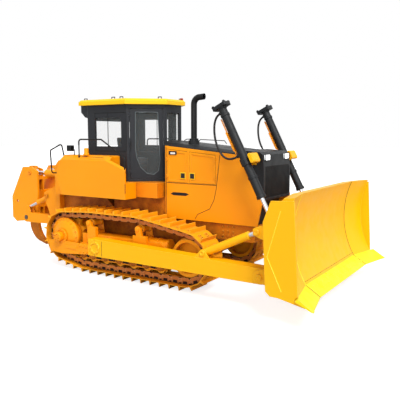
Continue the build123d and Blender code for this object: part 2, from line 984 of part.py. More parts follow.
with BuildPart() as cab_glass:
    for low, high in ((cab_half - 34, cab_half - 26), (-cab_half + 26, -cab_half + 34)):
        box((cab_rear + 235, cab_door_post - 170), (low, high), (3010, 3680))
    box((cab_rear + 26, cab_rear + 34), (-750, 750), (2900, 3620))
    box((cab_front - 34, cab_front - 26), (-cab_front_half + 75, cab_front_half - 75), (3120, 3800))
keep(cab_glass, "cab_glass")

roof_overhang = 90
with BuildPart() as cab_roof:
    roof_plan = cab_plan(-roof_overhang).moved(Location((0, 0, cab_ceiling)))
    extrude(roof_plan, amount=roof_thickness)
    box((cab_rear - 230, cab_rear + 20), (-cab_half - 60, cab_half + 60), (cab_ceiling, cab_ceiling + roof_thickness))
    chamfer(cab_roof.edges().group_by(Axis.Z)[-1], length=45)
keep(cab_roof, "cab_roof")

with BuildPart() as rear_unit:
    slab(
        [
            (cab_rear - 210, cab_ceiling),
            (cab_rear, cab_ceiling),
            (cab_rear, 3680),
            (cab_rear - 80, 3700),
            (cab_rear - 210, 3820),
        ],
        -cab_half,
        cab_half,
    )
keep(rear_unit, "rear_unit")

# Seat and controls
floor_top = cab_floor + 40
with BuildPart() as seat_base:
    box((900, 1350), (-230, 230), (floor_top, 2560))
    box((760, 900), (-200, 200), (2440, 2560))
keep(seat_base, "seat_base")
with BuildPart() as seat_cushion:
    box((880, 1400), (-260, 260), (2560.3, 2700))
    fillet(seat_cushion.edges().filter_by(Axis.Z), radius=50)
keep(seat_cushion, "seat_cushion")
with BuildPart() as seat_back:
    slab([(760, 2560), (878, 2560), (840, 3250), (730, 3250)], -240, 240)
keep(seat_back, "seat_back")
with BuildPart() as consoles:
    for low, high in ((-520, -320), (320, 520)):
        box((950, 1500), (low, high), (floor_top, 2850))
    box((1900, 2200), (-250, 250), (floor_top, 2980))
    for out in (-420, 420):
        with Locations((sprocket_x + 1420, out, 2925)):
            Cylinder(22, 150)
keep(consoles, "consoles")

# Handrails on the fenders
rail_tube = 17


def tube_path(points, radius, bends):
    """A bent tube through points ahead of the axle, outboard and up."""
    path_points = [(sprocket_x + x, -out, z) for x, out, z in points]
    with BuildLine() as path:
        FilletPolyline(*path_points, radius=bends)
    start = path.line @ 0
    with BuildSketch(Plane(origin=start, z_dir=path.line % 0)) as ring:
        Circle(radius)
    sweep(ring.sketch, path=path.line)


with BuildPart() as right_rails:
    tube_path(
        [
            (500, 1290, fender_top - 120),
            (510, 1300, 3175),
            (1230, 1300, 3175),
            (1935, 1310, 2765),
            (1945, 1326, 2430),
        ],
        rail_tube,
        70,
    )
    tube_path(
        [
            (-560, 900, 2320),
            (-590, 1180, 2330),
            (-600, 1200, 2900),
            (-190, 1200, 3060),
            (-90, 1180, 2590),
        ],
        rail_tube,
        60,
    )
    add(fender.part, mode=Mode.SUBTRACT)
    add(fuel_tank.part, mode=Mode.SUBTRACT)
with BuildPart() as handrails:
    add(right_rails.part)
    mirror(right_rails.part, about=Plane.XZ)
keep(handrails, "handrails")

# Push arms
with BuildPart() as push_arm:
    link_plate([(trunnion, 195), (blade_pin, 150)], arm_inner, arm_outer)
    slab([(1229, 560), (1640, 552), (1640, 945), (1229, 935)], arm_inner, arm_outer)
    disc(trunnion, trunnion_radius + running_clearance, arm_inner - 10, arm_outer + 10, Mode.SUBTRACT)
    disc(blade_pin, blade_pin_radius + running_clearance, arm_inner - 10, arm_outer + 10, Mode.SUBTRACT)
    for near in (brace_out - 120, brace_out + 90):
        link_plate([(brace_foot, 72), ((4150, 820), 60), ((4430, 820), 60)], near, near + 30)
    disc(brace_foot, 45, brace_out - 120, brace_out + 120)
pair(push_arm, "push_arms")

# Blade
wing_end = blade_half - end_plate_thickness
box_back = 5880
heel = (blade_foot[0] - 60, 520)


def blade_section(out, sweep_ahead):
    """The blade's closed section at an outboard distance, moved ahead."""
    def place(point, back=0):
        return (sprocket_x + point[0] + sweep_ahead - back, point[1])

    with BuildSketch(Plane.XZ.offset(out)) as section:
        with BuildLine():
            ThreePointArc(place(blade_top), place(blade_mid), place(blade_foot))
            Polyline(
                place(blade_foot),
                place((blade_foot[0] - 60, 520)),
                place((box_back + 20, 500)),
                place((box_back - 10, 580)),
                place((box_back - 10, 1020)),
                place((6030, 1120)),
            )
            ThreePointArc(place((6030, 1120)), place(blade_mid, blade_skin), place((6035, 1760)))
            Polyline(
                place((6035, 1760)),
                place((5950, 1800)),
                place((5950, 2150)),
                place((6020, 2225)),
                place(blade_top),
            )
        make_face()
    return section.sketch


with BuildPart() as blade:
    extrude(blade_section(-blade_centre_half, 0), amount=2 * blade_centre_half)
    for side in (-1, 1):
        loft([blade_section(side * blade_centre_half, 0), blade_section(side * wing_end, wing_sweep)])
        low, high = sorted((side * wing_end, side * blade_half))
        slab(
            [
                (5959, 2169),
                (5815, 1796),
                (5853, 985),
                (5877, 584),
                (5964, 506),
                (6114, 502),
                (6613, 402),
                (heel[0] + wing_sweep, heel[1]),
                (blade_foot[0] + wing_sweep, blade_foot[1]),
                (6470, 699),
                (6381, 2190),
            ],
            low,
            high,
        )
        for near, cap in ((lift_out - 76, -14), (lift_out + 46, 14)):
            low, high = sorted((side * near, side * (near + 30)))
            slab(
                [(5540, 1150), (5540, 1260), (5590, 1300), (6050, 1480), (6050, 1000), (5600, 1110)],
                low,
                high,
            )
            low, high = sorted((side * (near + cap), side * (near + 30 + cap)))
            disc(lift_eye, 56, low, high)
        for near, cap in ((brace_out - 90, -14), (brace_out + 60, 14)):
            low, high = sorted((side * near, side * (near + 30)))
            slab(
                [(5380, 1450), (5380, 1560), (5440, 1600), (6080, 1650), (6080, 1200), (5460, 1420)],
                low,
                high,
            )
            low, high = sorted((side * (near + cap), side * (near + 30 + cap)))
            disc(brace_eye, 50, low, high)
        for near in (arm_inner - 50, arm_outer + 8):
            low, high = sorted((side * near, side * (near + 42)))
            link_plate([(blade_pin, 125), ((5930, 620), 60), ((5930, 880), 60)], low, high)
        low, high = sorted((side * (arm_inner - 70), side * (arm_outer + 70)))
        disc(blade_pin, blade_pin_radius, low, high)
    for out in (-1150, -575, 0, 575, 1150):
        slab(
            [(5880, 1000), (6040, 1090), (6025, 1480), (6040, 1780), (5955, 1820), (5930, 1480)],
            out - 15,
            out + 15,
        )
keep(blade, "blade")

def edge_section(out, ahead):
    """The cutting edge's section at an outboard distance, moved ahead."""
    run = math.dist(blade_foot, edge_tip)
    lean = (blade_foot[1] - edge_tip[1]) / run * edge_thickness
    lip = [blade_foot, edge_tip, (edge_tip[0] - lean - 30, edge_tip[1]), heel]
    with BuildSketch(Plane.XZ.offset(out)) as section:
        with BuildLine():
            Polyline(*shifted([(x + ahead, z) for x, z in lip]), close=True)
        make_face()
    return section.sketch


with BuildPart() as cutting_edge:
    extrude(edge_section(-blade_centre_half, 0), amount=2 * blade_centre_half)
    for side in (-1, 1):
        loft([edge_section(side * blade_centre_half, 0), edge_section(side * wing_end, wing_sweep)])
        loft([edge_section(side * wing_end, wing_sweep), edge_section(side * bit_half, front_reach - edge_tip[0])])
keep(cutting_edge, "cutting_edge")


# Cylinders
def trunnion_barrel(pivot, eye, out, radius, above, below, rod_radius, pin_radius, pin_reach, bore, outer_reach):
    """A cylinder barrel carried by cross pins at its pivot."""
    tube(pivot, eye, out, radius, -above, below)
    tube(pivot, eye, out, radius + 22, -75, 75)
    tube(pivot, eye, out, radius + 12, below - 60, below)
    disc(pivot, pin_radius, out - pin_reach, out + outer_reach)
    tube(pivot, eye, out, bore, -above + 60, below - 40, Mode.SUBTRACT)
    tube(pivot, eye, out, rod_radius + running_clearance, -above + 80, below + 10, Mode.SUBTRACT)


def eye_rod(pivot, eye, out, radius, length, eye_radius, eye_half):
    """A cylinder rod with its eye, as long as it is from the eye inward."""
    span = math.dist(pivot, eye)
    tube(pivot, eye, out, radius, span - length, span - eye_radius / 2)
    disc(eye, eye_radius, out - eye_half, out + eye_half)


def eye_barrel(base, eye, out, radius, length, rod_radius, eye_radius, eye_half, pin_radius, bore):
    """A cylinder barrel with an eye at its base."""
    tube(base, eye, out, radius, eye_radius * 0.8, length)
    disc(base, eye_radius, out - eye_half, out + eye_half)
    tube(base, eye, out, bore, eye_radius + 40, length - 40, Mode.SUBTRACT)
    tube(base, eye, out, rod_radius + running_clearance, eye_radius + 60, length + 10, Mode.SUBTRACT)
    disc(base, pin_radius + running_clearance, out - eye_half - 1, out + eye_half + 1, Mode.SUBTRACT)


lift_pin_reach = 165
lift_run = math.dist(lift_yoke, lift_eye)
lift_way = ((lift_eye[0] - lift_yoke[0]) / lift_run, (lift_eye[1] - lift_yoke[1]) / lift_run)
hose_side = (lift_way[1], 0, -lift_way[0])
hose_start = -1120
hose_reach = 100
hose_end = -170
hose_foot = 130
hose_radius = 22
with BuildPart() as lift_barrel:
    trunnion_barrel(
        lift_yoke, lift_eye, lift_out, lift_barrel_radius, lift_above, lift_below,
        lift_rod_radius, 45, lift_pin_reach, lift_barrel_radius - 15, 112,
    )
    tube(lift_yoke, lift_eye, lift_out, lift_barrel_radius + 18, -lift_above, -lift_above + 90)
    with BuildSketch(line_plane(lift_yoke, lift_eye, lift_out, -lift_above)) as head:
        RectangleRounded(250, 330, 35)
    extrude(head.sketch, amount=70)
    for spot, reach in ((hose_start, hose_reach), (hose_end, hose_foot)):
        x, z = toward(lift_yoke, lift_eye, spot)
        with BuildSketch(Plane(origin=(sprocket_x + x, -lift_out, z), z_dir=hose_side)) as boss:
            Circle(36)
        extrude(boss.sketch, amount=reach)
    tube(lift_yoke, lift_eye, lift_out, lift_barrel_radius - 15, -lift_above + 60, lift_below - 40, Mode.SUBTRACT)
pair(lift_barrel, "lift_barrels")
with BuildPart() as lift_rod:
    eye_rod(lift_yoke, lift_eye, lift_out, lift_rod_radius, lift_rod_length, 72, 40)
pair(lift_rod, "lift_rods")

# Yokes that carry the lift cylinders at the guard's top corners, each bent round the barrel's front
yoke_reach = 180
yoke_front = (lift_yoke[0] - lift_way[1] * yoke_reach, lift_yoke[1] + lift_way[0] * yoke_reach)
yoke_ends = [(yoke_front[0] + lift_way[0] * drop, yoke_front[1] + lift_way[1] * drop) for drop in (-65, 65)]
with BuildPart() as yoke:
    inner = lift_out - 190
    link_plate([(lift_yoke, 100), (yoke_ends[0], 38), (yoke_ends[1], 38)], inner, inner + 60)
    link_plate([(yoke_ends[0], 38), (yoke_ends[1], 38)], inner, lift_out + 110)
    box((lift_yoke[0] - 70, lift_yoke[0] + 70), (mask_half, inner), (lift_yoke[1] - 75, lift_yoke[1] + 75))
    disc(lift_yoke, 45 + running_clearance, inner, inner + 60, Mode.SUBTRACT)
pair(yoke, "yokes")

with BuildPart() as brace_barrel:
    eye_barrel(brace_foot, brace_eye, brace_out, brace_radius, 1070, brace_rod_radius, 75, 84, 45, brace_radius - 15)
pair(brace_barrel, "brace_barrels")
with BuildPart() as brace_rod:
    eye_rod(brace_foot, brace_eye, brace_out, brace_rod_radius, 750, 70, 50)
pair(brace_rod, "brace_rods")

# Ripper: mount on the case, lower arm, carriage, shank and cylinders
mount_face = case_rear - 80
with BuildPart() as ripper_mount:
    slab([(case_rear, 700), (case_rear, 2440), (mount_face, 2440), (mount_face, 700)], -800, 800)
    for side in (-1, 1):
        for near in (ripper_arm_out - 140, ripper_arm_out + 100):
            low, high = sorted((side * near, side * (near + 40)))
            slab(
                [
                    (mount_face, 760),
                    (-1000, 880),
                    (-1160, 960),
                    (-1160, 1100),
                    (-1380, 1560),
                    (-1400, 1740),
                    (-1290, 1800),
                    (mount_face, 1980),
                ],
                low,
                high,
            )
            disc(ripper_trunnion, 55 + running_clearance, low, high, Mode.SUBTRACT)
        low, high = sorted((side * (ripper_arm_out - 140), side * (ripper_arm_out + 140)))
        disc(ripper_pivot, 60, low, high)
        for near in (tilt_out - 155, tilt_out + 115):
            low, high = sorted((side * near, side * (near + 40)))
            slab([(mount_face, 2040), (-1130, 2150), (-1180, 2240), (-1130, 2330), (mount_face, 2430)], low, high)
        low, high = sorted((side * (tilt_out - 155), side * (tilt_out + 155)))
        disc(tilt_base, 50, low, high)
keep(ripper_mount, "ripper_mount")

arm_half = 80
with BuildPart() as ripper_arm:
    for side in (-1, 1):
        low, high = sorted((side * (ripper_arm_out - arm_half), side * (ripper_arm_out + arm_half)))
        link_plate([(ripper_pivot, 120), (carriage_pin, 130)], low, high)
        for near in (ripper_arm_out - arm_half, ripper_arm_out + arm_half - 30):
            low, high = sorted((side * near, side * (near + 30)))
            link_plate([(ripper_eye, 65), ((-2080, 1060), 50), ((-2250, 1060), 50)], low, high)
    box((-1720, -1500), (-ripper_arm_out, ripper_arm_out), (930, 1110))
    disc(ripper_pivot, 60 + running_clearance, -800, 800, Mode.SUBTRACT)
    disc(carriage_pin, 60 + running_clearance, -800, 800, Mode.SUBTRACT)
keep(ripper_arm, "ripper_arm")

with BuildPart() as carriage_pins:
    for side in (-1, 1):
        low, high = sorted((side * 370, side * 720))
        disc(carriage_pin, 60, low, high)
keep(carriage_pins, "carriage_pins")

carriage_out = 430
carriage_outline = [
    (-2230, 2400),
    (-2570, 2385),
    (-3080, 1520),
    (-3090, 920),
    (-2920, 800),
    (-2530, 850),
    (-2160, 850),
    (-2080, 1000),
    (-1980, 1620),
    (-1980, 2280),
]
shank_half = 55
with BuildPart() as ripper_carriage:
    for side in (-1, 1):
        low, high = sorted((side * carriage_out, side * (carriage_out + 60)))
        slab(carriage_outline, low, high)
        low, high = sorted((side * (shank_half + 5), side * (shank_half + 45)))
        slab([(-2980, 880), (-2400, 880), (-2400, 2300), (-2560, 2340), (-2980, 1600)], low, high)
        for ahead, height in (((-2980, -2880), (900, 1300)), ((-2500, -2400), (1200, 1700)), ((-2600, -2400), (2000, 2080))):
            low, high = sorted((side * (shank_half + 45), side * carriage_out))
            box(ahead, (low, high), height)
    for ahead, height in (((-2980, -2870), (900, 1300)), ((-2540, -2400), (1200, 1700)), ((-2540, -2400), (2000, 2080))):
        box(ahead, (-shank_half - 45, shank_half + 45), height)
    for side in (-1, 1):
        low, high = sorted((side * (carriage_out - 5), side * (carriage_out + 65)))
        disc(tow_bore, tow_bore_radius, low, high, Mode.SUBTRACT)
    disc(carriage_pin, 60 + running_clearance, -800, 800, Mode.SUBTRACT)
keep(ripper_carriage, "ripper_carriage")

with BuildPart() as ripper_shank:
    with BuildSketch(Plane.XZ.offset(-shank_half)) as side_view:
        with BuildLine():
            back = ThreePointArc(*shifted([(-2870, 640), (-2740, 370), (-2460, 190)]))
            Polyline(*shifted([(-2460, 190), (-2200, 120), (-2330, 280)]))
            front = ThreePointArc(*shifted([(-2330, 280), (-2470, 470), (-2540, 800)]))
            Polyline(*shifted([(-2540, 800), (-2540, 2330), (-2600, 2390), (-2800, 2390), (-2850, 2330), (-2870, 640)]))
        make_face()
    extrude(side_view.sketch, amount=2 * shank_half)
keep(ripper_shank, "ripper_shank")

with BuildPart() as tilt_barrel:
    eye_barrel(tilt_base, tilt_eye, tilt_out, 105, 700, 55, 95, 110, 50, 85)
pair(tilt_barrel, "tilt_barrels")
with BuildPart() as tilt_rod:
    eye_rod(tilt_base, tilt_eye, tilt_out, 55, 750, 90, 80)
pair(tilt_rod, "tilt_rods")

with BuildPart() as ripper_barrel:
    trunnion_barrel(ripper_trunnion, ripper_eye, ripper_arm_out, 68, 290, 560, 45, 55, 140, 56, 140)
pair(ripper_barrel, "ripper_barrels")
with BuildPart() as ripper_rod:
    eye_rod(ripper_trunnion, ripper_eye, ripper_arm_out, 45, 965, 60, 44)
pair(ripper_rod, "ripper_rods")

# Hoses from the lift cylinders' heads down to their trunnions, each bowed out behind
hose_bows = [(hose_start, hose_reach), (hose_start, 260), (-640, 480), (hose_end, 400), (hose_end, hose_foot)]


def hose_point(bow):
    """A point at a distance down the cylinder and a distance out behind it."""
    x, z = toward(lift_yoke, lift_eye, bow[0])
    return (sprocket_x + x + hose_side[0] * bow[1], -lift_out, z + hose_side[2] * bow[1])


def cord(points, radius):
    """A round cord through points, with as wide a bend at each as its runs allow."""
    bends = []
    for before, here, after in zip(points, points[1:], points[2:]):
        first = Vector(*here) - Vector(*before)
        second = Vector(*after) - Vector(*here)
        half_turn = math.radians(first.get_angle(second)) / 2
        bends.append(0.45 * min(first.length, second.length) / math.tan(half_turn))
    print("cord bends", [round(bend, 1) for bend in bends])
    with BuildLine() as path:
        FilletPolyline(*points, radius=bends)
    print("cord length", round(sum(edge.length for edge in path.edges()), 1))
    with BuildSketch(Plane(origin=path.line @ 0, z_dir=path.line % 0)) as ring:
        Circle(radius)
    sweep(ring.sketch, path=path.line)


with BuildPart() as lift_hose:
    cord([hose_point(bow) for bow in hose_bows], hose_radius)
both_sides(lift_hose, "lift_hose")
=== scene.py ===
import json
import math

import bmesh
import bpy
from mathutils import Matrix, Vector


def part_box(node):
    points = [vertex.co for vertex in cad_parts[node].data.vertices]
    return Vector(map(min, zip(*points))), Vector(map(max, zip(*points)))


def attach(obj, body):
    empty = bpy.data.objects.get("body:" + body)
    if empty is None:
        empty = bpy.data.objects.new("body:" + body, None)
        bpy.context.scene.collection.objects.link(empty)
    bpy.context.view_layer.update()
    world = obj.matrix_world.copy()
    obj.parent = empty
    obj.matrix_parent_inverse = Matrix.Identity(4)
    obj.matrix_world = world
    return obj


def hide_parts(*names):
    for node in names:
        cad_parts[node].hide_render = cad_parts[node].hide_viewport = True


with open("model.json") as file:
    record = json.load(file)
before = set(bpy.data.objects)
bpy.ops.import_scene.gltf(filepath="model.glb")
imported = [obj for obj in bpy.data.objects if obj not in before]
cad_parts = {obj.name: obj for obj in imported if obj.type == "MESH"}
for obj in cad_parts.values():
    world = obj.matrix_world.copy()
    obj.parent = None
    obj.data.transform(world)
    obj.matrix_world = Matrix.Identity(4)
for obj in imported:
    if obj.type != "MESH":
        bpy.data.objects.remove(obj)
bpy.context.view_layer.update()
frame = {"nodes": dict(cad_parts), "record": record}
nodes = frame["nodes"]
scene = bpy.context.scene
scene.view_settings.view_transform = "Standard"

# Measures are in millimetres. Places along the machine are given ahead of the sprocket
# axle, and places across it outboard to the right, as in the CAD.
SPROCKET_X = -1862
TURN = 2 * math.pi
OUTBOARD = Vector((0, -1, 0))
INBOARD = Vector((0, 1, 0))
FORWARD = Vector((1, 0, 0))
UP = Vector((0, 0, 1))


def at(ahead, out, height):
    """A point, in metres, from its place along, across and above the ground."""
    return Vector((SPROCKET_X + ahead, -out, height)) / 1000


# The photograph's camera, fitted to the machine's measured corners
AZIMUTH = math.radians(32.8587)
PITCH = math.radians(7.0123)
FOCAL_PIXELS = 526.04
PHOTO_PIXELS = 400
SENSOR = 36
CAMERA_PLACE = (7.8762, -10.2866, 3.2706)
camera_data = bpy.data.cameras.new("camera")
camera_data.sensor_width = SENSOR
camera_data.lens = FOCAL_PIXELS / PHOTO_PIXELS * SENSOR
camera = bpy.data.objects.new("camera", camera_data)
camera.location = CAMERA_PLACE
heading = Vector(
    (-math.sin(AZIMUTH) * math.cos(PITCH), math.cos(AZIMUTH) * math.cos(PITCH), -math.sin(PITCH))
)
camera.rotation_euler = heading.to_track_quat("-Z", "Y").to_euler()
scene.collection.objects.link(camera)
scene.camera = camera


# Materials. Colours are sRGB hex, and pattern scales come from sizes in millimetres.
# On a colour Mix node, 6 and 7 are the two colours and output 2 is their blend. On a
# Map Range node, 1 and 2 are the range that comes in, and 3 and 4 the one that goes out.
def colour(code):
    """A hex colour as linear values."""
    parts = [int(code[i : i + 2], 16) / 255 for i in (0, 2, 4)]
    return [p / 12.92 if p <= 0.04045 else ((p + 0.055) / 1.055) ** 2.4 for p in parts] + [1]


def per(size):
    """The texture scale at which a pattern repeats about every so many millimetres."""
    return 1000 / size


def add(tree, kind, feeds=None, values=None, **settings):
    """Adds a node with its settings, input values and links."""
    node = tree.nodes.new(kind)
    for key, value in settings.items():
        setattr(node, key, value)
    for key, value in (values or {}).items():
        node.inputs[key].default_value = value
    for key, source in (feeds or {}).items():
        tree.links.new(source, node.inputs[key])
    return node


def new_material(name, **values):
    """A material, its node tree and shader, and the object's own coordinates."""
    material = bpy.data.materials.new(name)
    material.use_nodes = True
    tree = material.node_tree
    shader = tree.nodes["Principled BSDF"]
    for key, value in values.items():
        shader.inputs[key.replace("_", " ")].default_value = value
    place = add(tree, "ShaderNodeTexCoord").outputs["Object"]
    return material, tree, shader, place


# The third colour is painted shade, laid on where ambient occlusion finds the surface closed in;
# the last two numbers set how dark it goes and how far the occlusion looks.
def enamel(name, tone, shade, shade_tone, wear, rough=0.36, shade_strength=0.6, hollow=0.28):
    """Sprayed polyester enamel on steel plate: even colour with slow tone changes, painted
    shade in the corners, rubbed edges and a fine orange-peel skin."""
    material, tree, shader, place = new_material(name, Specular_IOR_Level=0.28)
    # The tone drifts over about a metre, and dust is smeared in patches a hand across, which vary
    # the gloss and break up the painted shade
    clouds = add(tree, "ShaderNodeTexNoise", {"Vector": place}, {"Scale": per(1100), "Detail": 3})
    smears = add(tree, "ShaderNodeTexNoise", {"Vector": place}, {"Scale": per(180), "Detail": 7})
    paint = add(
        tree,
        "ShaderNodeMix",
        {0: clouds.outputs["Fac"]},
        {6: colour(tone), 7: colour(shade)},
        data_type="RGBA",
    )
    # Painted shade: a darker colour lies where the surface sees little open air, broken up by the
    # smears
    air = add(tree, "ShaderNodeAmbientOcclusion", None, {"Distance": hollow}, samples=6)
    corner_shade = add(
        tree, "ShaderNodeMapRange", {0: air.outputs["AO"]}, {1: 0.8, 2: 0.2, 3: 0, 4: shade_strength}
    )
    broken = add(
        tree, "ShaderNodeMapRange", {0: smears.outputs["Fac"]}, {1: 0.3, 2: 0.7, 3: 0.55, 4: 1}
    )
    painted_shade_mask = add(
        tree, "ShaderNodeMath", {0: corner_shade.outputs[0], 1: broken.outputs[0]}, operation="MULTIPLY"
    )
    shade_painted = add(
        tree,
        "ShaderNodeMix",
        {0: painted_shade_mask.outputs[0], 6: paint.outputs[2]},
        {7: colour(shade_tone)},
        data_type="RGBA",
    )
    # The rounded normal leaves the flat one only beside an edge
    rounded = add(tree, "ShaderNodeBevel", None, {"Radius": 0.012}, samples=4)
    flat = add(tree, "ShaderNodeNewGeometry")
    bend = add(
        tree,
        "ShaderNodeVectorMath",
        {0: rounded.outputs["Normal"], 1: flat.outputs["Normal"]},
        operation="DOT_PRODUCT",
    )
    rub = add(
        tree, "ShaderNodeMapRange", {0: bend.outputs["Value"]}, {1: 0.97, 2: 0.75, 3: 0, 4: 0.7}
    )
    rubbed = add(
        tree,
        "ShaderNodeMix",
        {0: rub.outputs[0], 6: shade_painted.outputs[2]},
        {7: colour(wear)},
        data_type="RGBA",
    )
    tree.links.new(rubbed.outputs[2], shader.inputs["Base Color"])
    gloss = add(
        tree,
        "ShaderNodeMapRange",
        {0: smears.outputs["Fac"]},
        {1: 0.25, 2: 0.75, 3: rough - 0.06, 4: rough + 0.18},
    )
    tree.links.new(gloss.outputs[0], shader.inputs["Roughness"])
    # Real orange peel is a millimetre or two across, drawn at 12 mm so that it shows
    peel = add(tree, "ShaderNodeTexNoise", {"Vector": place}, {"Scale": per(12), "Detail": 2})
    skin = add(
        tree,
        "ShaderNodeBump",
        {"Height": peel.outputs["Fac"], "Normal": rounded.outputs["Normal"]},
        {"Strength": 0.06, "Distance": 0.002},
    )
    tree.links.new(skin.outputs["Normal"], shader.inputs["Normal"])
    return material


def bare_steel(name, tone, shade, rough, grain):
    """Chromed or ground steel: a metal with a grain of a given size."""
    material, tree, shader, place = new_material(name, Metallic=1.0)
    grains = add(tree, "ShaderNodeTexNoise", {"Vector": place}, {"Scale": per(grain), "Detail": 6})
    metal = add(
        tree,
        "ShaderNodeMix",
        {0: grains.outputs["Fac"]},
        {6: colour(tone), 7: colour(shade)},
        data_type="RGBA",
    )
    tree.links.new(metal.outputs[2], shader.inputs["Base Color"])
    polish = add(
        tree,
        "ShaderNodeMapRange",
        {0: grains.outputs["Fac"]},
        {1: 0.3, 2: 0.7, 3: rough - 0.05, 4: rough + 0.12},
    )
    tree.links.new(polish.outputs[0], shader.inputs["Roughness"])
    rounded = add(tree, "ShaderNodeBevel", None, {"Radius": 0.006}, samples=4)
    bumps = add(
        tree,
        "ShaderNodeBump",
        {"Height": grains.outputs["Fac"], "Normal": rounded.outputs["Normal"]},
        {"Strength": 0.08, "Distance": 0.002},
    )
    tree.links.new(bumps.outputs["Normal"], shader.inputs["Normal"])
    return material


def moulded(name, tone, shade, rough, grain):
    """Moulded rubber or plastic: matt, with a fine moulded texture and dust in patches."""
    material, tree, shader, place = new_material(name, Specular_IOR_Level=0.4)
    texture = add(tree, "ShaderNodeTexNoise", {"Vector": place}, {"Scale": per(grain), "Detail": 3})
    patches = add(tree, "ShaderNodeTexNoise", {"Vector": place}, {"Scale": per(140), "Detail": 4})
    tint = add(
        tree,
        "ShaderNodeMix",
        {0: patches.outputs["Fac"]},
        {6: colour(tone), 7: colour(shade)},
        data_type="RGBA",
    )
    tree.links.new(tint.outputs[2], shader.inputs["Base Color"])
    matt = add(
        tree,
        "ShaderNodeMapRange",
        {0: patches.outputs["Fac"]},
        {1: 0.3, 2: 0.7, 3: rough - 0.06, 4: rough + 0.1},
    )
    tree.links.new(matt.outputs[0], shader.inputs["Roughness"])
    bumps = add(
        tree,
        "ShaderNodeBump",
        {"Height": texture.outputs["Fac"]},
        {"Strength": 0.25, "Distance": 0.001},
    )
    tree.links.new(bumps.outputs["Normal"], shader.inputs["Normal"])
    return material


def float_glass(name, tone, alpha, rough, glow=0.0):
    """Toughened float glass: clear, faintly tinted, with a little dust that dulls it."""
    material, tree, shader, place = new_material(name, Alpha=alpha, IOR=1.5)
    dust = add(tree, "ShaderNodeTexNoise", {"Vector": place}, {"Scale": per(260), "Detail": 5})
    tint = add(
        tree,
        "ShaderNodeMix",
        {0: dust.outputs["Fac"]},
        {6: colour(tone), 7: colour("C8CCCC")},
        data_type="RGBA",
    )
    tree.links.new(tint.outputs[2], shader.inputs["Base Color"])
    painted_shade_mask = add(
        tree,
        "ShaderNodeMapRange",
        {0: dust.outputs["Fac"]},
        {1: 0.3, 2: 0.8, 3: rough, 4: rough + 0.08},
    )
    tree.links.new(painted_shade_mask.outputs[0], shader.inputs["Roughness"])
    if glow:
        shader.inputs["Emission Color"].default_value = colour("FFFFFF")
        shader.inputs["Emission Strength"].default_value = glow
    return material


def seat_weave(name, tone, shade):
    """Woven polyester seat cloth: matt, with crossed threads and a soft sheen."""
    material, tree, shader, place = new_material(name, Roughness=0.92, Sheen_Weight=0.35)
    # Real threads are under a millimetre apart, drawn at 6 mm so that they show
    threads = [
        add(
            tree,
            "ShaderNodeTexWave",
            {"Vector": place},
            {"Scale": per(6) / TURN, "Distortion": 0.4},
            bands_direction=direction,
        )
        for direction in ("X", "Y")
    ]
    crossed = add(
        tree,
        "ShaderNodeMath",
        {0: threads[0].outputs["Fac"], 1: threads[1].outputs["Fac"]},
        operation="MULTIPLY",
    )
    cloth = add(
        tree,
        "ShaderNodeMix",
        {0: crossed.outputs[0]},
        {6: colour(tone), 7: colour(shade)},
        data_type="RGBA",
    )
    tree.links.new(cloth.outputs[2], shader.inputs["Base Color"])
    bumps = add(
        tree,
        "ShaderNodeBump",
        {"Height": crossed.outputs[0]},
        {"Strength": 0.4, "Distance": 0.001},
    )
    tree.links.new(bumps.outputs["Normal"], shader.inputs["Normal"])
    return material


# Machine yellow on hood sides, fenders and drives: warm and even, with a broken half-gloss
body_enamel = enamel("body_enamel", "FFA000", "FB9600", "A85808", "FFC73A")
# The same paint on blade, arms and yokes, scoured by soil: a lighter, cleaner yellow
blade_enamel = enamel("blade_enamel", "FFBC00", "FFB400", "D08408", "FFDA50", hollow=0.2)
# Yellow on the roof, painted paler as a highlight for the light falling on its top: the palest
# panel, so the roof line stands out
roof_enamel = enamel("roof_enamel", "FFCC14", "FFC008", "C08010", "FFE060")
# Yellow on frames and castings low down: a deeper tone than the body that partly stands for shade,
# and painted shade reaching far into each hollow, so the eye reads depth
frame_enamel = enamel("frame_enamel", "F08E04", "DC7A04", "5A2408", "FFB838", 0.5, 1.0, 1.5)
# Paint on track shoes and wheels: painted shade turns the hollows dark orange-brown, bright along
# the grousers
shoe_enamel = enamel("shoe_enamel", "FFAE0C", "F49A08", "6E3008", "FFD860", 0.5, 0.95, 0.25)
# Oiled paint on the chain links: rusty brown with painted shade in the corners, and light edges
# that pick out each link
link_enamel = enamel("link_enamel", "D88A38", "B8642C", "3A1408", "FFC890", 0.5, 0.9, 0.12)
# Paint on the deck below the cab: body yellow where it is open, brown painted shade where things
# stand over it
deck_enamel = enamel("deck_enamel", "FB9600", "F08A00", "5A2408", "FFC040", 0.5, 1.0, 1.5)
# Painted shadow behind links and rollers: a near-black brown that stands for the shade there and
# sets them off
painted_shadow_enamel = enamel("painted_shadow_enamel", "30140A", "200C06", "140804", "6A3018", 0.7, 0.5)
# Charcoal enamel on cab and rear unit: a soft grey sheen, lighter than the black parts
cab_enamel = enamel("cab_enamel", "26282C", "202226", "121314", "5C6066", 0.4, 0.5)
# Anti-glare black on hood top, radiator mask and lift barrels: dull, with greyed edges
guard_enamel = enamel("guard_enamel", "1C1E20", "17191B", "0C0D0E", "4C5056", 0.42, 0.5)
# Black enamel on cowl, grille, exhaust and handrails: the deepest tone of the paints
black_enamel = enamel("black_enamel", "0A0B0C", "070808", "040404", "2C2E32", 0.42, 0.4)
# Paint and scoured metal at the cutting edge: a bright yellow line along the blade's foot
edge_enamel = enamel("edge_enamel", "FFE40C", "FFDC04", "E0A010", "FFF490", 0.3, 0.3)
# Hard chrome on cylinder rods: a clean streak of sky down each rod
hard_chrome = bare_steel("hard_chrome", "E6E7EA", "D4D5D9", 0.12, 60)
# Ground steel of the ripper's pins: a duller, slightly brown metal
pin_steel = bare_steel("ground_pin_steel", "8A8178", "5E564E", 0.3, 20)
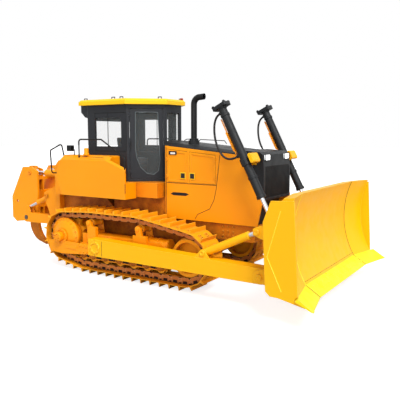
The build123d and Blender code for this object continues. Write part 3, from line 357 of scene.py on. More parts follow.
# Toughened cab glass: nearly clear, a faint green-grey with dust
cab_glass = float_glass("cab_glass", "C4D0D0", 0.05, 0.03)
# Frosted lens of a lamp: milky white that glows a little against its black case
lamp_glass = float_glass("lamp_glass", "F4F6F8", 0.95, 0.1, 1.2)
# Weathered rubber round the door windows: a matt grey line on the charcoal door
window_rubber = moulded("window_rubber", "6A7476", "5C6668", 0.6, 5)
# Polycarbonate of the beacon: smooth signal red
beacon_plastic = moulded("beacon_polycarbonate", "E0402C", "C83020", 0.2, 8)
# Cover rubber of the hydraulic hoses: black with a faint sheen
hose_rubber = moulded("hose_rubber", "0C0C0D", "171717", 0.55, 6)
# Soft black rubber in panel gaps and side windows: matt, so a gap reads as a shadow line
seal_rubber = moulded("seal_rubber", "0A0B0B", "121313", 0.7, 4)
# Moulded nylon of latches, handles and consoles: near black, grained
black_plastic = moulded("black_plastic", "1A1B1D", "141517", 0.55, 3)
# White nylon of the rear engine doors' grips: a small bright spot
white_plastic = moulded("white_plastic", "F2F2EE", "E4E4DE", 0.4, 5)
# Woven cloth of the seat: charcoal threads that soften its light
seat_cloth = seat_weave("seat_cloth", "22252A", "0E0F12")

slot_finish = {
    "yellow_paint": body_enamel,
    "dark_paint": black_enamel,
    "grey_paint": cab_enamel,
    "track_steel": shoe_enamel,
    "cast_steel": frame_enamel,
    "worn_steel": edge_enamel,
    "chrome_rod": hard_chrome,
    "glass": cab_glass,
    "lamp_glass": lamp_glass,
    "black_plastic": black_plastic,
    "hose_rubber": hose_rubber,
    "seat_cloth": seat_cloth,
}
node_finish = {
    "blade": blade_enamel,
    "push_arms": blade_enamel,
    "brace_barrels": blade_enamel,
    "yokes": blade_enamel,
    "cab_roof": roof_enamel,
    "main_frame": frame_enamel,
    "deck": deck_enamel,
    "equalizer_bar": frame_enamel,
    "lift_barrels": guard_enamel,
    "hood_top": guard_enamel,
    "radiator_mask": guard_enamel,
    "carriage_pins": pin_steel,
}
slot_of = {entry["node"]: entry["material_slot"] for entry in frame["record"]["subparts"]}
for name, node in nodes.items():
    node.data.materials.clear()
    node.data.materials.append(node_finish.get(name) or slot_finish[slot_of[name]])


# Hoses: each follows its CAD route as one smooth line, through points given down the
# lift barrel and back from it
hose_bows = ((-1120, 100), (-1120, 260), (-640, 480), (-170, 400), (-170, 130))
HOSE_DIAMETER = 0.044
LIFT_OUT = 996
lift_yoke = Vector((4820, 0, 2750))
lift_way = (Vector((5620, 0, 1205)) - lift_yoke).normalized()
hose_side = Vector((lift_way.z, 0, -lift_way.x))


def by_barrel(down, back, out):
    """A point in metres down the lift cylinder's axis and back from it."""
    spot = lift_yoke + lift_way * down + hose_side * back
    return at(spot.x, out, spot.z)


for side, label in ((1, "right"), (-1, "left")):
    curve = bpy.data.curves.new(f"hose_{label}", "CURVE")
    curve.dimensions = "3D"
    curve.bevel_depth = HOSE_DIAMETER / 2
    curve.bevel_resolution = 4
    curve.resolution_u = 12
    spline = curve.splines.new("NURBS")
    spline.points.add(len(hose_bows) - 1)
    for point, (down, back) in zip(spline.points, hose_bows):
        point.co = (*by_barrel(down, back, side * LIFT_OUT), 1)
    spline.order_u = 3
    spline.use_endpoint_u = True
    curve.materials.append(hose_rubber)
    hose = bpy.data.objects.new(f"lift_hose_{label}_rubber", curve)
    scene.collection.objects.link(hose)
    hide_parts(f"lift_hose_{label}")
    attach(hose, "lift_barrels")


# Shapes that repeat are made once and stamped where they belong
def finish_shape(mesh):
    """Turns a mesh in the making into mesh data, its faces pointing outwards."""
    bmesh.ops.recalc_face_normals(mesh, faces=mesh.faces[:])
    data = bpy.data.meshes.new("shape")
    mesh.to_mesh(data)
    mesh.free()
    return data


def soften(mesh, width):
    """Bevels every edge of a mesh by a width."""
    bmesh.ops.bevel(
        mesh,
        geom=mesh.edges[:],
        offset=width / 1000,
        offset_type="OFFSET",
        segments=1,
        profile=0.5,
        affect="EDGES",
        material=-1,
    )


def turned(outline, steps=24):
    """A shape turned about its own Z axis from (radius, height) corners."""
    mesh = bmesh.new()
    line = [mesh.verts.new((radius / 1000, 0, height / 1000)) for radius, height in outline]
    edges = [mesh.edges.new(pair) for pair in zip(line, line[1:])]
    bmesh.ops.spin(
        mesh,
        geom=line + edges,
        cent=(0, 0, 0),
        axis=(0, 0, 1),
        angle=TURN,
        steps=steps,
        use_merge=True,
    )
    bmesh.ops.remove_doubles(mesh, verts=mesh.verts[:], dist=1e-5)
    return finish_shape(mesh)


def plate(outline, thick, soft=2):
    """A flat plate from its outline, its thickness along its own Z axis."""
    mesh = bmesh.new()
    face = mesh.faces.new([mesh.verts.new((x / 1000, y / 1000, 0)) for x, y in outline])
    grown = bmesh.ops.extrude_face_region(mesh, geom=[face])["geom"]
    raised = [item for item in grown if isinstance(item, bmesh.types.BMVert)]
    bmesh.ops.translate(mesh, verts=raised, vec=(0, 0, thick / 1000))
    if soft:
        soften(mesh, soft)
    return finish_shape(mesh)


def block(long, wide, high, soft=3):
    """A block with softened edges, standing on its own middle."""
    mesh = bmesh.new()
    bmesh.ops.create_cube(mesh, size=1)
    bmesh.ops.scale(mesh, vec=(long / 1000, wide / 1000, high / 1000), verts=mesh.verts[:])
    bmesh.ops.translate(mesh, verts=mesh.verts[:], vec=(0, 0, high / 2000))
    soften(mesh, soft)
    return finish_shape(mesh)


def facing(point, way=OUTBOARD, turn=0.0):
    """The place of a shape whose Z axis points some way from a point."""
    tilt = way.to_track_quat("Z", "Y").to_matrix().to_4x4()
    return Matrix.Translation(point) @ tilt @ Matrix.Rotation(turn, 4, "Z")


def stamp(mesh, shape, *matrices):
    """Adds a shape to a mesh at each place."""
    for matrix in matrices:
        placed = shape.copy()
        placed.transform(matrix)
        mesh.from_mesh(placed)
        bpy.data.meshes.remove(placed)


def ring_of(point, way, radius, count, lean=0.0):
    """Places evenly round a circle, their axes leaning outwards by an angle."""
    middle = facing(point, way)
    return [
        middle
        @ Matrix.Rotation(TURN * i / count, 4, "Z")
        @ Matrix.Translation((radius / 1000, 0, 0))
        @ Matrix.Rotation(lean, 4, "Y")
        for i in range(count)
    ]


def rod(mesh, points, radius, sides=10):
    """A round bar through points, in metres."""
    for start, end in zip(points, points[1:]):
        bmesh.ops.create_cone(
            mesh,
            cap_ends=True,
            segments=sides,
            radius1=radius / 1000,
            radius2=radius / 1000,
            depth=(end - start).length,
            matrix=facing((start + end) / 2, end - start),
        )
    for point in points[1:-1]:
        bmesh.ops.create_uvsphere(
            mesh,
            u_segments=sides,
            v_segments=6,
            radius=radius / 1000,
            matrix=Matrix.Translation(point),
        )


SHARP = math.radians(32)


def keep(name, mesh, material, body, sides="both"):
    """Makes a mesh a finished piece that rides on a body: as it was drawn for "right",
    turned over for "left", or drawn on the right and mirrored for "both"."""
    if sides == "left":
        bmesh.ops.scale(mesh, vec=(1, -1, 1), verts=mesh.verts[:])
    elif sides == "both":
        everything = mesh.verts[:] + mesh.edges[:] + mesh.faces[:]
        bmesh.ops.mirror(mesh, geom=everything, merge_dist=0, axis="Y")
    data = finish_shape(mesh)
    data.name = name
    data.shade_smooth()
    data.set_sharp_from_angle(angle=SHARP)
    data.materials.append(material)
    thing = bpy.data.objects.new(name, data)
    scene.collection.objects.link(thing)
    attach(thing, body)


# A round washer, then the hexagon on it: sides, radius as a share of the width across
# flats, and where each starts and ends as a share of the height
BOLT_HEAD = ((14, 0.85, 0, 0.18), (6, 0.58, 0.18, 1))


def hex_bolt(across, head):
    """A hexagon bolt head on its washer."""
    mesh = bmesh.new()
    for sides, radius, low, high in BOLT_HEAD:
        bmesh.ops.create_cone(
            mesh,
            cap_ends=True,
            segments=sides,
            radius1=across * radius / 1000,
            radius2=across * radius / 1000,
            depth=head * (high - low) / 1000,
            matrix=Matrix.Translation((0, 0, head * (high + low) / 2000)),
        )
    return finish_shape(mesh)


# Track chain: the CAD's band round the wheels, walked link by link
SHOES = 40
SPROCKET_TEETH = 12
CHAIN_PITCH = 259.5
DRIVE_UP = 820
ROLLER_PLACES = (582, 893, 1292, 1718, 2128, 2523, 2897)
ROLLER_UP = 375
CARRIERS_AHEAD = (835, 2335)
CARRIER_UP = 1200
IDLER_AHEAD = 3608
IDLER_UP = 685
PITCH_RADIUS = CHAIN_PITCH / (2 * math.sin(math.pi / SPROCKET_TEETH))
# Each wheel's place ahead, its height, and how far the pin line runs from its axle
wheels = [
    (ROLLER_PLACES[0], ROLLER_UP, 187),
    (0, DRIVE_UP, PITCH_RADIUS),
    (CARRIERS_AHEAD[0], CARRIER_UP, 179),
    (CARRIERS_AHEAD[1], CARRIER_UP, 179),
    (IDLER_AHEAD, IDLER_UP, 495),
    (ROLLER_PLACES[-1], ROLLER_UP, 187),
]


def departure(first, second):
    """The angle at which a band leaves one wheel for the next."""
    (x0, z0, r0), (x1, z1, r1) = first, second
    span = math.hypot(x1 - x0, z1 - z0)
    return math.atan2(z1 - z0, x1 - x0) + math.pi / 2 + math.asin((r1 - r0) / span)


ARC_STEPS = 120
band = []
for i, (x, z, radius) in enumerate(wheels):
    arrive = departure(wheels[i - 1], wheels[i])
    sweep = (arrive - departure(wheels[i], wheels[(i + 1) % len(wheels)])) % TURN
    for k in range(ARC_STEPS + 1):
        angle = arrive - sweep * k / ARC_STEPS
        band.append(Vector((x + radius * math.cos(angle), z + radius * math.sin(angle))))
# The first pin lies at the middle of the first wheel's arc
band = band[ARC_STEPS // 2 :] + band[: ARC_STEPS // 2]
lengths = [(end - start).length for start, end in zip(band, band[1:] + band[:1])]
link_pitch = sum(lengths) / SHOES
pins = []
walked = 0.0
for start, end, length in zip(band, band[1:] + band[:1], lengths):
    while len(pins) < SHOES and walked + length >= len(pins) * link_pitch:
        share = (len(pins) * link_pitch - walked) / length
        pins.append(start.lerp(end, share))
    walked += length

RAIL_OUTER = 1280
RAIL_INNER = 980
TRACK_MID = 1130
SHOE_BOLTS_ALONG = (-88, -22)
SHOE_BOLTS_ACROSS = (-150, -95, 95, 150)
SHOE_FACE = 100
# A link's side is waisted between its two pin bosses
waisted_side = [
    (-84, -62), (84, -62), (112, -34), (112, 14), (96, 70), (62, 70),
    (50, 12), (-50, 12), (-62, 70), (-96, 70), (-112, 14), (-112, -34),
]
link_plate = plate(waisted_side, 14, 3)
# A flat near-black plate behind each link is painted shadow, so the gaps between links read dark
link_shadow_plate = plate([(-129, -68), (129, -68), (129, 79), (-129, 79)], 2, 0)
link_boss = turned([(0, 0), (46, 0), (46, 20), (40, 24), (28, 24), (26, 19), (0, 19)], 12)
link_pin = turned([(0, 12), (25, 12), (25, 24), (21, 28), (0, 28)], 12)
shoe_bolt = hex_bolt(34, 20)
link_shadow_plates = bmesh.new()
link_plates = bmesh.new()
link_pins = bmesh.new()
shoe_bolts = bmesh.new()
for pin, after in zip(pins, pins[1:] + pins[:1]):
    middle = (pin + after) / 2
    along = (after - pin).normalized()
    lean = math.atan2(along.y, along.x)
    for rail, way, turn in ((RAIL_OUTER, OUTBOARD, lean), (RAIL_INNER, INBOARD, -lean)):
        side_place = facing(at(middle.x, rail, middle.y), way, turn)
        pin_place = facing(at(pin.x, rail, pin.y), way)
        stamp(link_shadow_plates, link_shadow_plate, side_place)
        stamp(link_plates, link_plate, side_place)
        stamp(link_plates, link_boss, pin_place)
        stamp(link_pins, link_pin, pin_place)
    outward = Vector((-along.y, 0, along.x))
    for slide in SHOE_BOLTS_ALONG:
        spot = middle + along * slide + Vector((outward.x, outward.z)) * SHOE_FACE
        for across in SHOE_BOLTS_ACROSS:
            place = at(spot.x, TRACK_MID + across, spot.y)
            stamp(shoe_bolts, shoe_bolt, facing(place, outward))
keep("chain_link_painted_shadows", link_shadow_plates, painted_shadow_enamel, "machine")
keep("chain_link_plates", link_plates, link_enamel, "machine")
keep("chain_pins", link_pins, link_enamel, "machine")
keep("track_shoe_bolts", shoe_bolts, shoe_enamel, "machine")

# Final drive: three rings of bolts on its cone, its case and its hub, and the bracket's
small_bolt = hex_bolt(30, 20)
large_bolt = hex_bolt(44, 28)
CONE_LEAN = math.atan2(60, 115)
BRACKET_FACE = 1495
HUB_FACE = 1600
CARRIER_FACE = 1390
IDLER_FACE = 1370
CAP_RIM = 22
bracket_bolts = ((640, 500), (640, 650), (760, 500), (760, 650), (870, 520), (870, 650))
drive_rings = (
    (1366, 394, 20, CONE_LEAN), (BRACKET_FACE, 160, 10, 0.0), (HUB_FACE + CAP_RIM, 78, 8, 0.0),
)
drive_bolts = bmesh.new()
for face, radius, count, lean in drive_rings:
    ring = ring_of(at(0, face, DRIVE_UP), OUTBOARD, radius, count, lean)
    stamp(drive_bolts, small_bolt, *ring)
for ahead, height in bracket_bolts:
    stamp(drive_bolts, small_bolt, facing(at(ahead, BRACKET_FACE, height)))
keep("final_drive_bolts", drive_bolts, body_enamel, "machine")

# Caps on hub, carrier rollers and idler, a blank plate, and bands round the housing that
# lies along the track frame
hub_caps = bmesh.new()
hub_cap = turned([(0, 0), (118, 0), (118, 14), (104, CAP_RIM), (52, CAP_RIM), (46, 34), (0, 34)])
stamp(hub_caps, hub_cap, facing(at(0, HUB_FACE, DRIVE_UP)))
blank_plate = plate([(-190, -42), (190, -42), (190, 42), (-190, 42)], 10, 4)
stamp(hub_caps, blank_plate, facing(at(350, BRACKET_FACE, 585), turn=-0.02))
axle_cap = turned([(0, 0), (52, 0), (52, 16), (44, 24), (0, 24)], 18)
for ahead in CARRIERS_AHEAD:
    stamp(hub_caps, axle_cap, facing(at(ahead, CARRIER_FACE, CARRIER_UP)))
idler_cap = turned([(0, 0), (92, 0), (92, 12), (80, 20), (44, 20), (38, 30), (0, 30)])
stamp(hub_caps, idler_cap, facing(at(IDLER_AHEAD, IDLER_FACE, IDLER_UP)))
band_ring = turned([(140, 0), (156, 0), (156, 34), (140, 34), (140, 0)])
HOUSING_UP = 860
for ahead in (2500, 2760, 3020):
    stamp(hub_caps, band_ring, facing(at(ahead, TRACK_MID, HOUSING_UP), FORWARD))
keep("hub_caps_and_bands", hub_caps, body_enamel, "machine")

# Track rollers show below the frame, each with its bolted collar, and between them near-black
# plates on the guard paint the shadow in the gaps
GUARD_FACE = 1315
ROLLER_HALF = 104
collar = turned([(0, 0), (74, 0), (74, 14), (62, 22), (34, 22), (30, 14), (0, 14)], 20)
collars = bmesh.new()
roller_shadows = bmesh.new()
for place, after in zip(ROLLER_PLACES, ROLLER_PLACES[1:] + (None,)):
    stamp(collars, collar, facing(at(place, GUARD_FACE, 392)))
    for slide in (-95, 95):
        stamp(collars, small_bolt, facing(at(place + slide, GUARD_FACE, 372)))
    if after:
        half = (after - place) / 2 - ROLLER_HALF
        shadow_patch = plate([(-half, -52), (half, -52), (half * 0.72, 58), (-half * 0.72, 58)], 2, 0)
        stamp(roller_shadows, shadow_patch, facing(at((place + after) / 2, GUARD_FACE, 402)))
for ahead in (640, 1000, 1500, 2000, 2500, 2840):
    stamp(collars, large_bolt, facing(at(ahead, GUARD_FACE, 610)))
keep("roller_collars", collars, frame_enamel, "machine")
keep("roller_guard_painted_shadows", roller_shadows, painted_shadow_enamel, "machine")

# Hood: panel gaps, the vent, and the latches and grips of the engine doors
HOOD_FACE = 700
nose_gap = [(4046, 2862), (3956, 2120), (3902, 1884), (3794, 1687), (3486, 1544), (3415, 1440)]
waist_gap = [(2640, 2208), (3962, 2208)]
rear_gap = [(2640, 1420), (2640, 3020)]
gap_lines = bmesh.new()
for gap in (nose_gap, waist_gap, rear_gap):
    rod(gap_lines, [at(ahead, HOOD_FACE, height) for ahead, height in gap], 6, 6)
keep("hood_panel_gaps", gap_lines, seal_rubber, "machine")

vent = bmesh.new()
vent_outline = [(-250, -6), (-170, 34), (170, 34), (250, 6), (170, -34), (-170, -34)]
stamp(vent, plate(vent_outline, 4, 1), facing(at(3004, HOOD_FACE, 1966)))
keep("hood_side_vent", vent, seal_rubber, "machine")

LATCH_UP = 2380
for door, ahead in (("engine_door_rear", 3097), ("engine_door_front", 3345)):
    for side in ("right", "left"):
        body = f"{door}_{side}"
        latch_place = facing(at(ahead, HOOD_FACE, LATCH_UP))
        frames = bmesh.new()
        stamp(frames, block(150, 150, 10), latch_place)
        pads = bmesh.new()
        stamp(pads, block(110, 110, 13), latch_place)
        stamp(pads, block(30, 84, 20), facing(at(ahead + 20, HOOD_FACE, LATCH_UP)))
        if door == "engine_door_rear":
            stamp(pads, block(215, 80, 10), facing(at(2819, HOOD_FACE, 2880)))
            grip = bmesh.new()
            stamp(grip, block(130, 38, 14), facing(at(2826, HOOD_FACE, 2872)))
            keep(f"{body}_grip", grip, white_plastic, body, side)
        keep(f"{body}_latch_frame", frames, roof_enamel, body, side)
        keep(f"{body}_latch", pads, black_plastic, body, side)

# Fender: the upright gap near its front and the sloping one below its top
FENDER_FACE = 1350
fender_gaps = bmesh.new()
rod(fender_gaps, [at(1969, FENDER_FACE, 1970), at(1969, FENDER_FACE, 2190)], 7, 6)
rod(fender_gaps, [at(574, FENDER_FACE, 2779), at(1337, FENDER_FACE, 2760)], 5, 6)
keep("fender_panel_gaps", fender_gaps, seal_rubber, "machine")

# Radiator mask: a rim round each head lamp, and two round lenses in it
LAMP_FACE = 5052
LAMP_UP = 2822
LAMPS_OUT = (-476, 476)
rims = bmesh.new()
for out in LAMPS_OUT:
    for up in (-63, 63):
        stamp(rims, block(250, 16, 14), facing(at(LAMP_FACE, out, LAMP_UP + up), FORWARD))
    for across in (-123, 123):
        stamp(rims, block(16, 130, 14), facing(at(LAMP_FACE, out + across, LAMP_UP), FORWARD))
keep("lamp_rims", rims, black_enamel, "machine", "right")
lens = turned([(0, 0), (44, 0), (44, 6), (30, 12), (0, 14)], 20)
lenses = bmesh.new()
for out in LAMPS_OUT:
    for across in (-56, 56):
        stamp(lenses, lens, facing(at(LAMP_FACE, out + across, LAMP_UP), FORWARD))
keep("lamp_lenses", lenses, lamp_glass, "machine", "right")

# Push arms: bolted caps on their trunnions, seams beside these, and the blade's pins
ARM_FACE = 1800
TRUNNION_AHEAD, TRUNNION_UP = 1440, 750
RAISED = 22
arm_caps = bmesh.new()
trunnion_cap = turned(
    [(0, 0), (150, 0), (150, 12), (136, RAISED), (96, RAISED), (90, 12), (0, 12)]
)
stamp(arm_caps, trunnion_cap, facing(at(TRUNNION_AHEAD, ARM_FACE, TRUNNION_UP)))
raised_ring = at(TRUNNION_AHEAD, ARM_FACE + RAISED, TRUNNION_UP)
stamp(arm_caps, small_bolt, *ring_of(raised_ring, OUTBOARD, 118, 8))
keep("trunnion_caps", arm_caps, blade_enamel, "push_arms")
arm_seams = bmesh.new()
for ahead in (1419, 1640):
    rod(arm_seams, [at(ahead, ARM_FACE, 575), at(ahead, ARM_FACE, 925)], 5, 6)
keep("push_arm_seams", arm_seams, seal_rubber, "push_arms")
pin_cap = turned([(0, 0), (62, 0), (62, 12), (52, 22), (30, 22), (26, 14), (0, 14)], 20)
brace_foot = at(4290, 1780, 975)
arm_pin = at(5570, 1870, 700)
brace_pin = at(5460, 1760, 1505)
lift_pin = at(5620, 1086, 1205)
brace_pins = bmesh.new()
stamp(brace_pins, pin_cap, facing(brace_foot))
keep("brace_foot_pins", brace_pins, blade_enamel, "push_arms")
blade_pins = bmesh.new()
stamp(blade_pins, pin_cap, facing(arm_pin), facing(brace_pin), facing(lift_pin))
keep("blade_pin_caps", blade_pins, blade_enamel, "blade")

# Lift cylinders: bands and head bolts, and the guard over each one's tubes
BARREL_HEAD = -1273
lift_bands = bmesh.new()
barrel_band = turned([(85, 0), (97, 0), (97, 46), (85, 46), (85, 0)])
for down in (-1060, 330):
    stamp(lift_bands, barrel_band, facing(by_barrel(down, 0, LIFT_OUT), lift_way))
for across, back in ((-95, -135), (-95, 135), (95, -135), (95, 135)):
    spot = by_barrel(BARREL_HEAD, back, LIFT_OUT + across)
    stamp(lift_bands, large_bolt, facing(spot, -lift_way))
keep("lift_barrel_bands", lift_bands, guard_enamel, "lift_barrels")
tube_guards = bmesh.new()
for out in (LIFT_OUT - 34, LIFT_OUT + 34):
    rod(tube_guards, [by_barrel(-1000, 106, out), by_barrel(-230, 106, out)], 13, 10)
guard_place = facing(by_barrel(-500, 118, LIFT_OUT), hose_side)
stamp(tube_guards, block(120, 420, 12), guard_place)
keep("lift_tube_guards", tube_guards, body_enamel, "lift_barrels")

# Blade: a dark seam at one wing, welds at the other and on the end plates, and the bolts
# that hold the cutting edge
BLADE_TOP = Vector((6210, 2240))
BLADE_MID = Vector((6060, 1480))
BLADE_FOOT = Vector((6310, 574))
EDGE_TIP = Vector((6600, 390))
WING_START = 1450
BLADE_HALF = 2234


def circle_through(a, b, c):
    """The centre and radius of the circle through three points."""
    turn = 2 * (a.x * (b.y - c.y) + b.x * (c.y - a.y) + c.x * (a.y - b.y))
    squares = [p.length_squared for p in (a, b, c)]
    x = sum(q * d for q, d in zip(squares, (b.y - c.y, c.y - a.y, a.y - b.y))) / turn
    y = sum(q * d for q, d in zip(squares, (c.x - b.x, a.x - c.x, b.x - a.x))) / turn
    middle = Vector((x, y))
    return middle, (a - middle).length


blade_middle, blade_radius = circle_through(BLADE_TOP, BLADE_MID, BLADE_FOOT)


def face_point(share):
    """A point of the blade's curved face, from its top to its foot."""
    way = (BLADE_TOP.lerp(BLADE_FOOT, share) - blade_middle).normalized()
    return blade_middle + way * blade_radius


seam_line = [face_point(i / 24) for i in range(25)]
sill = face_point(0.965)
blade_seams = bmesh.new()
rod(blade_seams, [at(p.x, -WING_START, p.y) for p in seam_line], 7, 6)
rod(blade_seams, [at(sill.x, -WING_START, sill.y), at(sill.x, WING_START, sill.y)], 4, 6)
for out in (-WING_START, WING_START):
    rod(blade_seams, [at(6312, out, BLADE_FOOT.y), at(EDGE_TIP.x, out, EDGE_TIP.y + 1)], 6, 6)
keep("blade_seams", blade_seams, seal_rubber, "blade", "right")
blade_welds = bmesh.new()
rod(blade_welds, [at(p.x, WING_START, p.y) for p in seam_line], 8, 6)
end_plate_weld = ((6143, 2013), (5904, 1197), (6180, 620))
for out in (-BLADE_HALF, BLADE_HALF):
    rod(blade_welds, [at(ahead, out, height) for ahead, height in end_plate_weld], 8, 6)
keep("blade_welds", blade_welds, edge_enamel, "blade", "right")
# The cutting edge slopes down to its tip, and its bolts face square out of it
edge_way = Vector((184, 0, 290)).normalized()
plough_bolt = turned([(0, 0), (24, 0), (20, 8), (0, 10)], 12)
BOLT_STEP = 150
edge_bolts = bmesh.new()
for out in range(BOLT_STEP // 2, WING_START, BOLT_STEP):
    for share in (0.3, 0.62):
        spot = BLADE_FOOT.lerp(EDGE_TIP, share)
        stamp(edge_bolts, plough_bolt, facing(at(spot.x, out, spot.y), edge_way))
keep("cutting_edge_bolts", edge_bolts, edge_enamel, "blade")

# Cab doors: a rubber round each window, whose outline is given as places along the
# slanted door and heights, and a handle
DOOR_WINDOW = (
    (205, 3800), (720, 3800), (765, 2700), (730, 2450), (620, 2360),
    (460, 2385), (315, 2520), (225, 2750), (195, 2935), (205, 3800),
)
POST = Vector((1700, 950))
FRONT = Vector((2340, 330))
door_way = (FRONT - POST).normalized()
door_outward = Vector((0.696, 0.718))
HANDLE_ALONG = 90
HANDLE_RISE = 42
HANDLE_LOW, HANDLE_HIGH = 2940, 3140
for side in ("right", "left"):
    body = f"cab_door_{side}"
    rubber = bmesh.new()
    places = [(POST + door_way * along, height) for along, height in DOOR_WINDOW]
    rod(rubber, [at(spot.x, spot.y, height) for spot, height in places], 7, 8)
    keep(f"door_window_rubber_{side}", rubber, window_rubber, body, side)
    handle = bmesh.new()
    rises = (0, HANDLE_RISE, HANDLE_RISE, 0)
    spots = [POST + door_way * HANDLE_ALONG + door_outward * rise for rise in rises]
    heights = (HANDLE_LOW, HANDLE_LOW, HANDLE_HIGH, HANDLE_HIGH)
    rod(handle, [at(spot.x, spot.y, height) for spot, height in zip(spots, heights)], 9)
    keep(f"door_handle_{side}", handle, black_plastic, body, side)

# Cab side: a rubber round the window, and the bar that divides it
CAB_HALF = 950
corners = ((712, 2905), (1690, 2905), (1690, 3795), (712, 3795), (712, 2905))
bars = bmesh.new()
rod(bars, [at(1122, CAB_HALF - 2, 2910), at(1122, CAB_HALF - 2, 3790)], 9, 8)
rod(bars, [at(ahead, CAB_HALF, height) for ahead, height in corners], 7, 8)
keep("cab_side_window_rubbers", bars, seal_rubber, "machine")

# Right fender: the work lamp on its bent bracket, and the filler cap
FITTINGS_OUT = 1250
FENDER_TOP = 2800
bracket = ((300, FENDER_TOP), (300, 2930), (170, 2950))
fittings = bmesh.new()
rod(fittings, [at(ahead, FITTINGS_OUT, height) for ahead, height in bracket], 12)
stamp(fittings, block(150, 130, 140, 14), facing(at(170, FITTINGS_OUT, 2890), UP))
keep("rear_work_lamp", fittings, black_enamel, "machine", "right")
caps = bmesh.new()
filler = turned([(0, 0), (70, 0), (70, 40), (56, 52), (56, 150), (44, 170), (0, 176)])
stamp(caps, filler, facing(at(700, FITTINGS_OUT, FENDER_TOP), UP))
keep("fender_filler_cap", caps, body_enamel, "machine", "right")

# Roof: the beacon's dome on its foot
ROOF_TOP = 4110
beacon_place = facing(at(2190, -560, ROOF_TOP), UP)
beacon = bmesh.new()
stamp(beacon, turned([(0, 14), (40, 14), (40, 50), (32, 66), (0, 72)]), beacon_place)
keep("roof_beacon", beacon, beacon_plastic, "machine", "right")
beacon_foot = bmesh.new()
stamp(beacon_foot, turned([(0, 0), (52, 0), (52, 14), (0, 14)]), beacon_place)
keep("roof_beacon_foot", beacon_foot, black_plastic, "machine", "right")

# Hood: grab rods on its top, and the bolt heads on the main frame below its nose
front_rod = ((3075, 3120), (3149, 3175), (3785, 3150), (3840, 3085))
rear_rod = ((2700, 3150), (2760, 3182), (2960, 3180), (3010, 3140))
RODS_OUT = 60
top_rods = bmesh.new()
for bends in (front_rod, rear_rod):
    rod(top_rods, [at(ahead, RODS_OUT, height) for ahead, height in bends], 9)
keep("hood_grab_rods", top_rods, black_enamel, "machine", "right")
FRAME_HALF = 640
nose_bolts = bmesh.new()
for ahead in (4100, 4220, 4340):
    for height in (1130, 1230, 1330):
        stamp(nose_bolts, small_bolt, facing(at(ahead, FRAME_HALF, height)))
keep("frame_nose_bolts", nose_bolts, frame_enamel, "machine")

# Ripper: caps on the pins of its mount, which is fixed to the machine, and its carriage
ripper_pins = (
    ("machine", 800, ((-1030, 1020), (-1280, 1660))),
    ("ripper_carriage", 490, ((-2230, 1000), (-2280, 2220))),
)
for body, out, spots in ripper_pins:
    ripper_caps = bmesh.new()
    for ahead, height in spots:
        stamp(ripper_caps, pin_cap, facing(at(ahead, out, height)))
    keep(f"{body}_ripper_pin_caps", ripper_caps, frame_enamel, body)

# Roof: lifting hooks, each a bar bent down at both ends
HOOK_HALF = 45
HOOK_TOP = ROOF_TOP + 40
hook_bends = (
    (-HOOK_HALF, ROOF_TOP), (-HOOK_HALF, HOOK_TOP), (HOOK_HALF, HOOK_TOP), (HOOK_HALF, ROOF_TOP),
)
roof_hooks = bmesh.new()
for ahead, out in ((330, 850), (1300, 940), (1550, 940), (2260, 420)):
    rod(roof_hooks, [at(ahead + slide, out, height) for slide, height in hook_bends], 10)
keep("roof_lifting_hooks", roof_hooks, black_enamel, "machine")


# Seat: cushion and back start a little smaller than their CAD solids, and cloth under
# pressure swells them, no point by more than the cap
PAD_START = 0.94
PAD_VOXEL = 0.016
PAD_PRESSURE = 4
SWELL_CAP = 0.016
SWELL_STEPS = 20


def padded_seat(node_name, name):
    """A cushion grown from its CAD solid, crowned and softened."""
    source = nodes[node_name]
    data = source.data.copy()
    pad = bpy.data.objects.new(name, data)
    scene.collection.objects.link(pad)
    low, high = (Vector(corner_shade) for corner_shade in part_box(node_name))
    middle = (low + high) / 2
    for vertex in data.vertices:
        vertex.co = middle + (vertex.co - middle) * PAD_START
    bpy.context.view_layer.objects.active = pad
    remesh = pad.modifiers.new("remesh", "REMESH")
    remesh.mode = "VOXEL"
    remesh.voxel_size = PAD_VOXEL
    bpy.ops.object.select_all(action="DESELECT")
    pad.select_set(True)
    bpy.ops.object.modifier_apply(modifier="remesh")
    smooth = pad.modifiers.new("smooth", "SMOOTH")
    smooth.iterations = 6
    bpy.ops.object.modifier_apply(modifier="smooth")
    before = [vertex.co.copy() for vertex in pad.data.vertices]
    cloth_modifier = pad.modifiers.new("cloth", "CLOTH")
    cloth_modifier.settings.use_pressure = True
    cloth_modifier.settings.uniform_pressure_force = PAD_PRESSURE
    cloth_modifier.settings.effector_weights.gravity = 0
    for step in range(1, SWELL_STEPS + 1):
        scene.frame_set(step)
    bpy.ops.object.modifier_apply(modifier="cloth")
    for vertex, old in zip(pad.data.vertices, before):
        move = vertex.co - old
        if move.length > SWELL_CAP:
            vertex.co = old + move.normalized() * SWELL_CAP
    scene.frame_set(1)
    for polygon in pad.data.polygons:
        polygon.use_smooth = True
    pad.data.materials.clear()
    pad.data.materials.append(seat_cloth)
    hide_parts(node_name)
    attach(pad, "machine")


padded_seat("seat_cushion", "seat_cushion_cloth")
padded_seat("seat_back", "seat_back_cloth")


# Floor and light
FLOOR_HALF = 120
floor_mesh = bmesh.new()
bmesh.ops.create_grid(floor_mesh, x_segments=1, y_segments=1, size=FLOOR_HALF)
floor_data = bpy.data.meshes.new("floor")
floor_mesh.to_mesh(floor_data)
floor_mesh.free()
floor = bpy.data.objects.new("floor", floor_data)
scene.collection.objects.link(floor)
floor_material, floor_tree, floor_shader, floor_place = new_material("floor_paper", Roughness=0.9)
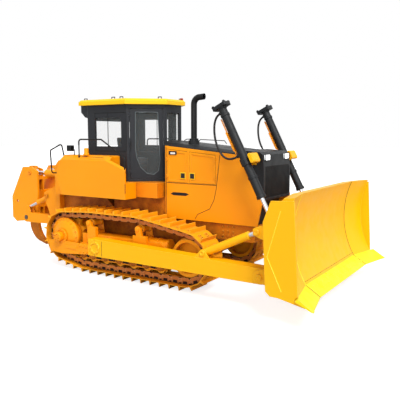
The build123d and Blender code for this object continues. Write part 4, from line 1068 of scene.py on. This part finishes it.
# To the camera the floor is white paper with a faint shadow, and to the machine a grey one
paper = add(
    floor_tree, "ShaderNodeTexNoise", {"Vector": floor_place}, {"Scale": per(5000), "Detail": 2}
)
paper_tone = add(
    floor_tree,
    "ShaderNodeMix",
    {0: paper.outputs["Fac"]},
    {6: colour("BEBEBE"), 7: colour("BABABA")},
    data_type="RGBA",
)
floor_tree.links.new(paper_tone.outputs[2], floor_shader.inputs["Base Color"])
glow = add(floor_tree, "ShaderNodeEmission", None, {"Color": colour("FFFFFF"), "Strength": 0.78})
paper_glow = add(
    floor_tree, "ShaderNodeAddShader", {0: floor_shader.outputs[0], 1: glow.outputs[0]}
)
rays = add(floor_tree, "ShaderNodeLightPath")
floor_mix = add(
    floor_tree,
    "ShaderNodeMixShader",
    {0: rays.outputs["Is Camera Ray"], 1: floor_shader.outputs[0], 2: paper_glow.outputs[0]},
)
floor_out = floor_tree.nodes["Material Output"]
floor_tree.links.new(floor_mix.outputs[0], floor_out.inputs["Surface"])
floor.data.materials.append(floor_material)

# The camera, mirrors and glass see a white sky, and the rest is lit by a dimmer one
world = bpy.data.worlds.new("studio")
world.use_nodes = True
sky = world.node_tree
sky_seen = sky.nodes["Background"]
sky_seen.inputs["Color"].default_value = (1, 1, 1, 1)
sky_seen.inputs["Strength"].default_value = 1.0
sky_light = add(sky, "ShaderNodeBackground", None, {"Color": (1, 1, 1, 1), "Strength": 0.45})
sky_rays = add(sky, "ShaderNodeLightPath")
mirrored = add(
    sky,
    "ShaderNodeMath",
    {0: sky_rays.outputs["Is Camera Ray"], 1: sky_rays.outputs["Is Glossy Ray"]},
    operation="MAXIMUM",
)
clear = add(
    sky,
    "ShaderNodeMath",
    {0: mirrored.outputs[0], 1: sky_rays.outputs["Is Transmission Ray"]},
    operation="MAXIMUM",
)
sky_mix = add(
    sky,
    "ShaderNodeMixShader",
    {0: clear.outputs[0], 1: sky_light.outputs[0], 2: sky_seen.outputs[0]},
)
sky.links.new(sky_mix.outputs[0], sky.nodes["World Output"].inputs["Surface"])
scene.world = world


def sun(name, direction, strength, angle):
    """A wide, soft light from far off."""
    data = bpy.data.lights.new(name, "SUN")
    data.energy = strength
    data.angle = math.radians(angle)
    light = bpy.data.objects.new(name, data)
    light.rotation_euler = Vector(direction).to_track_quat("-Z", "Y").to_euler()
    scene.collection.objects.link(light)


sun("key", (-0.62, 0.45, -0.95), 3.0, 25)
sun("fill", (-0.4, 0.8, -0.1), 1.1, 40)
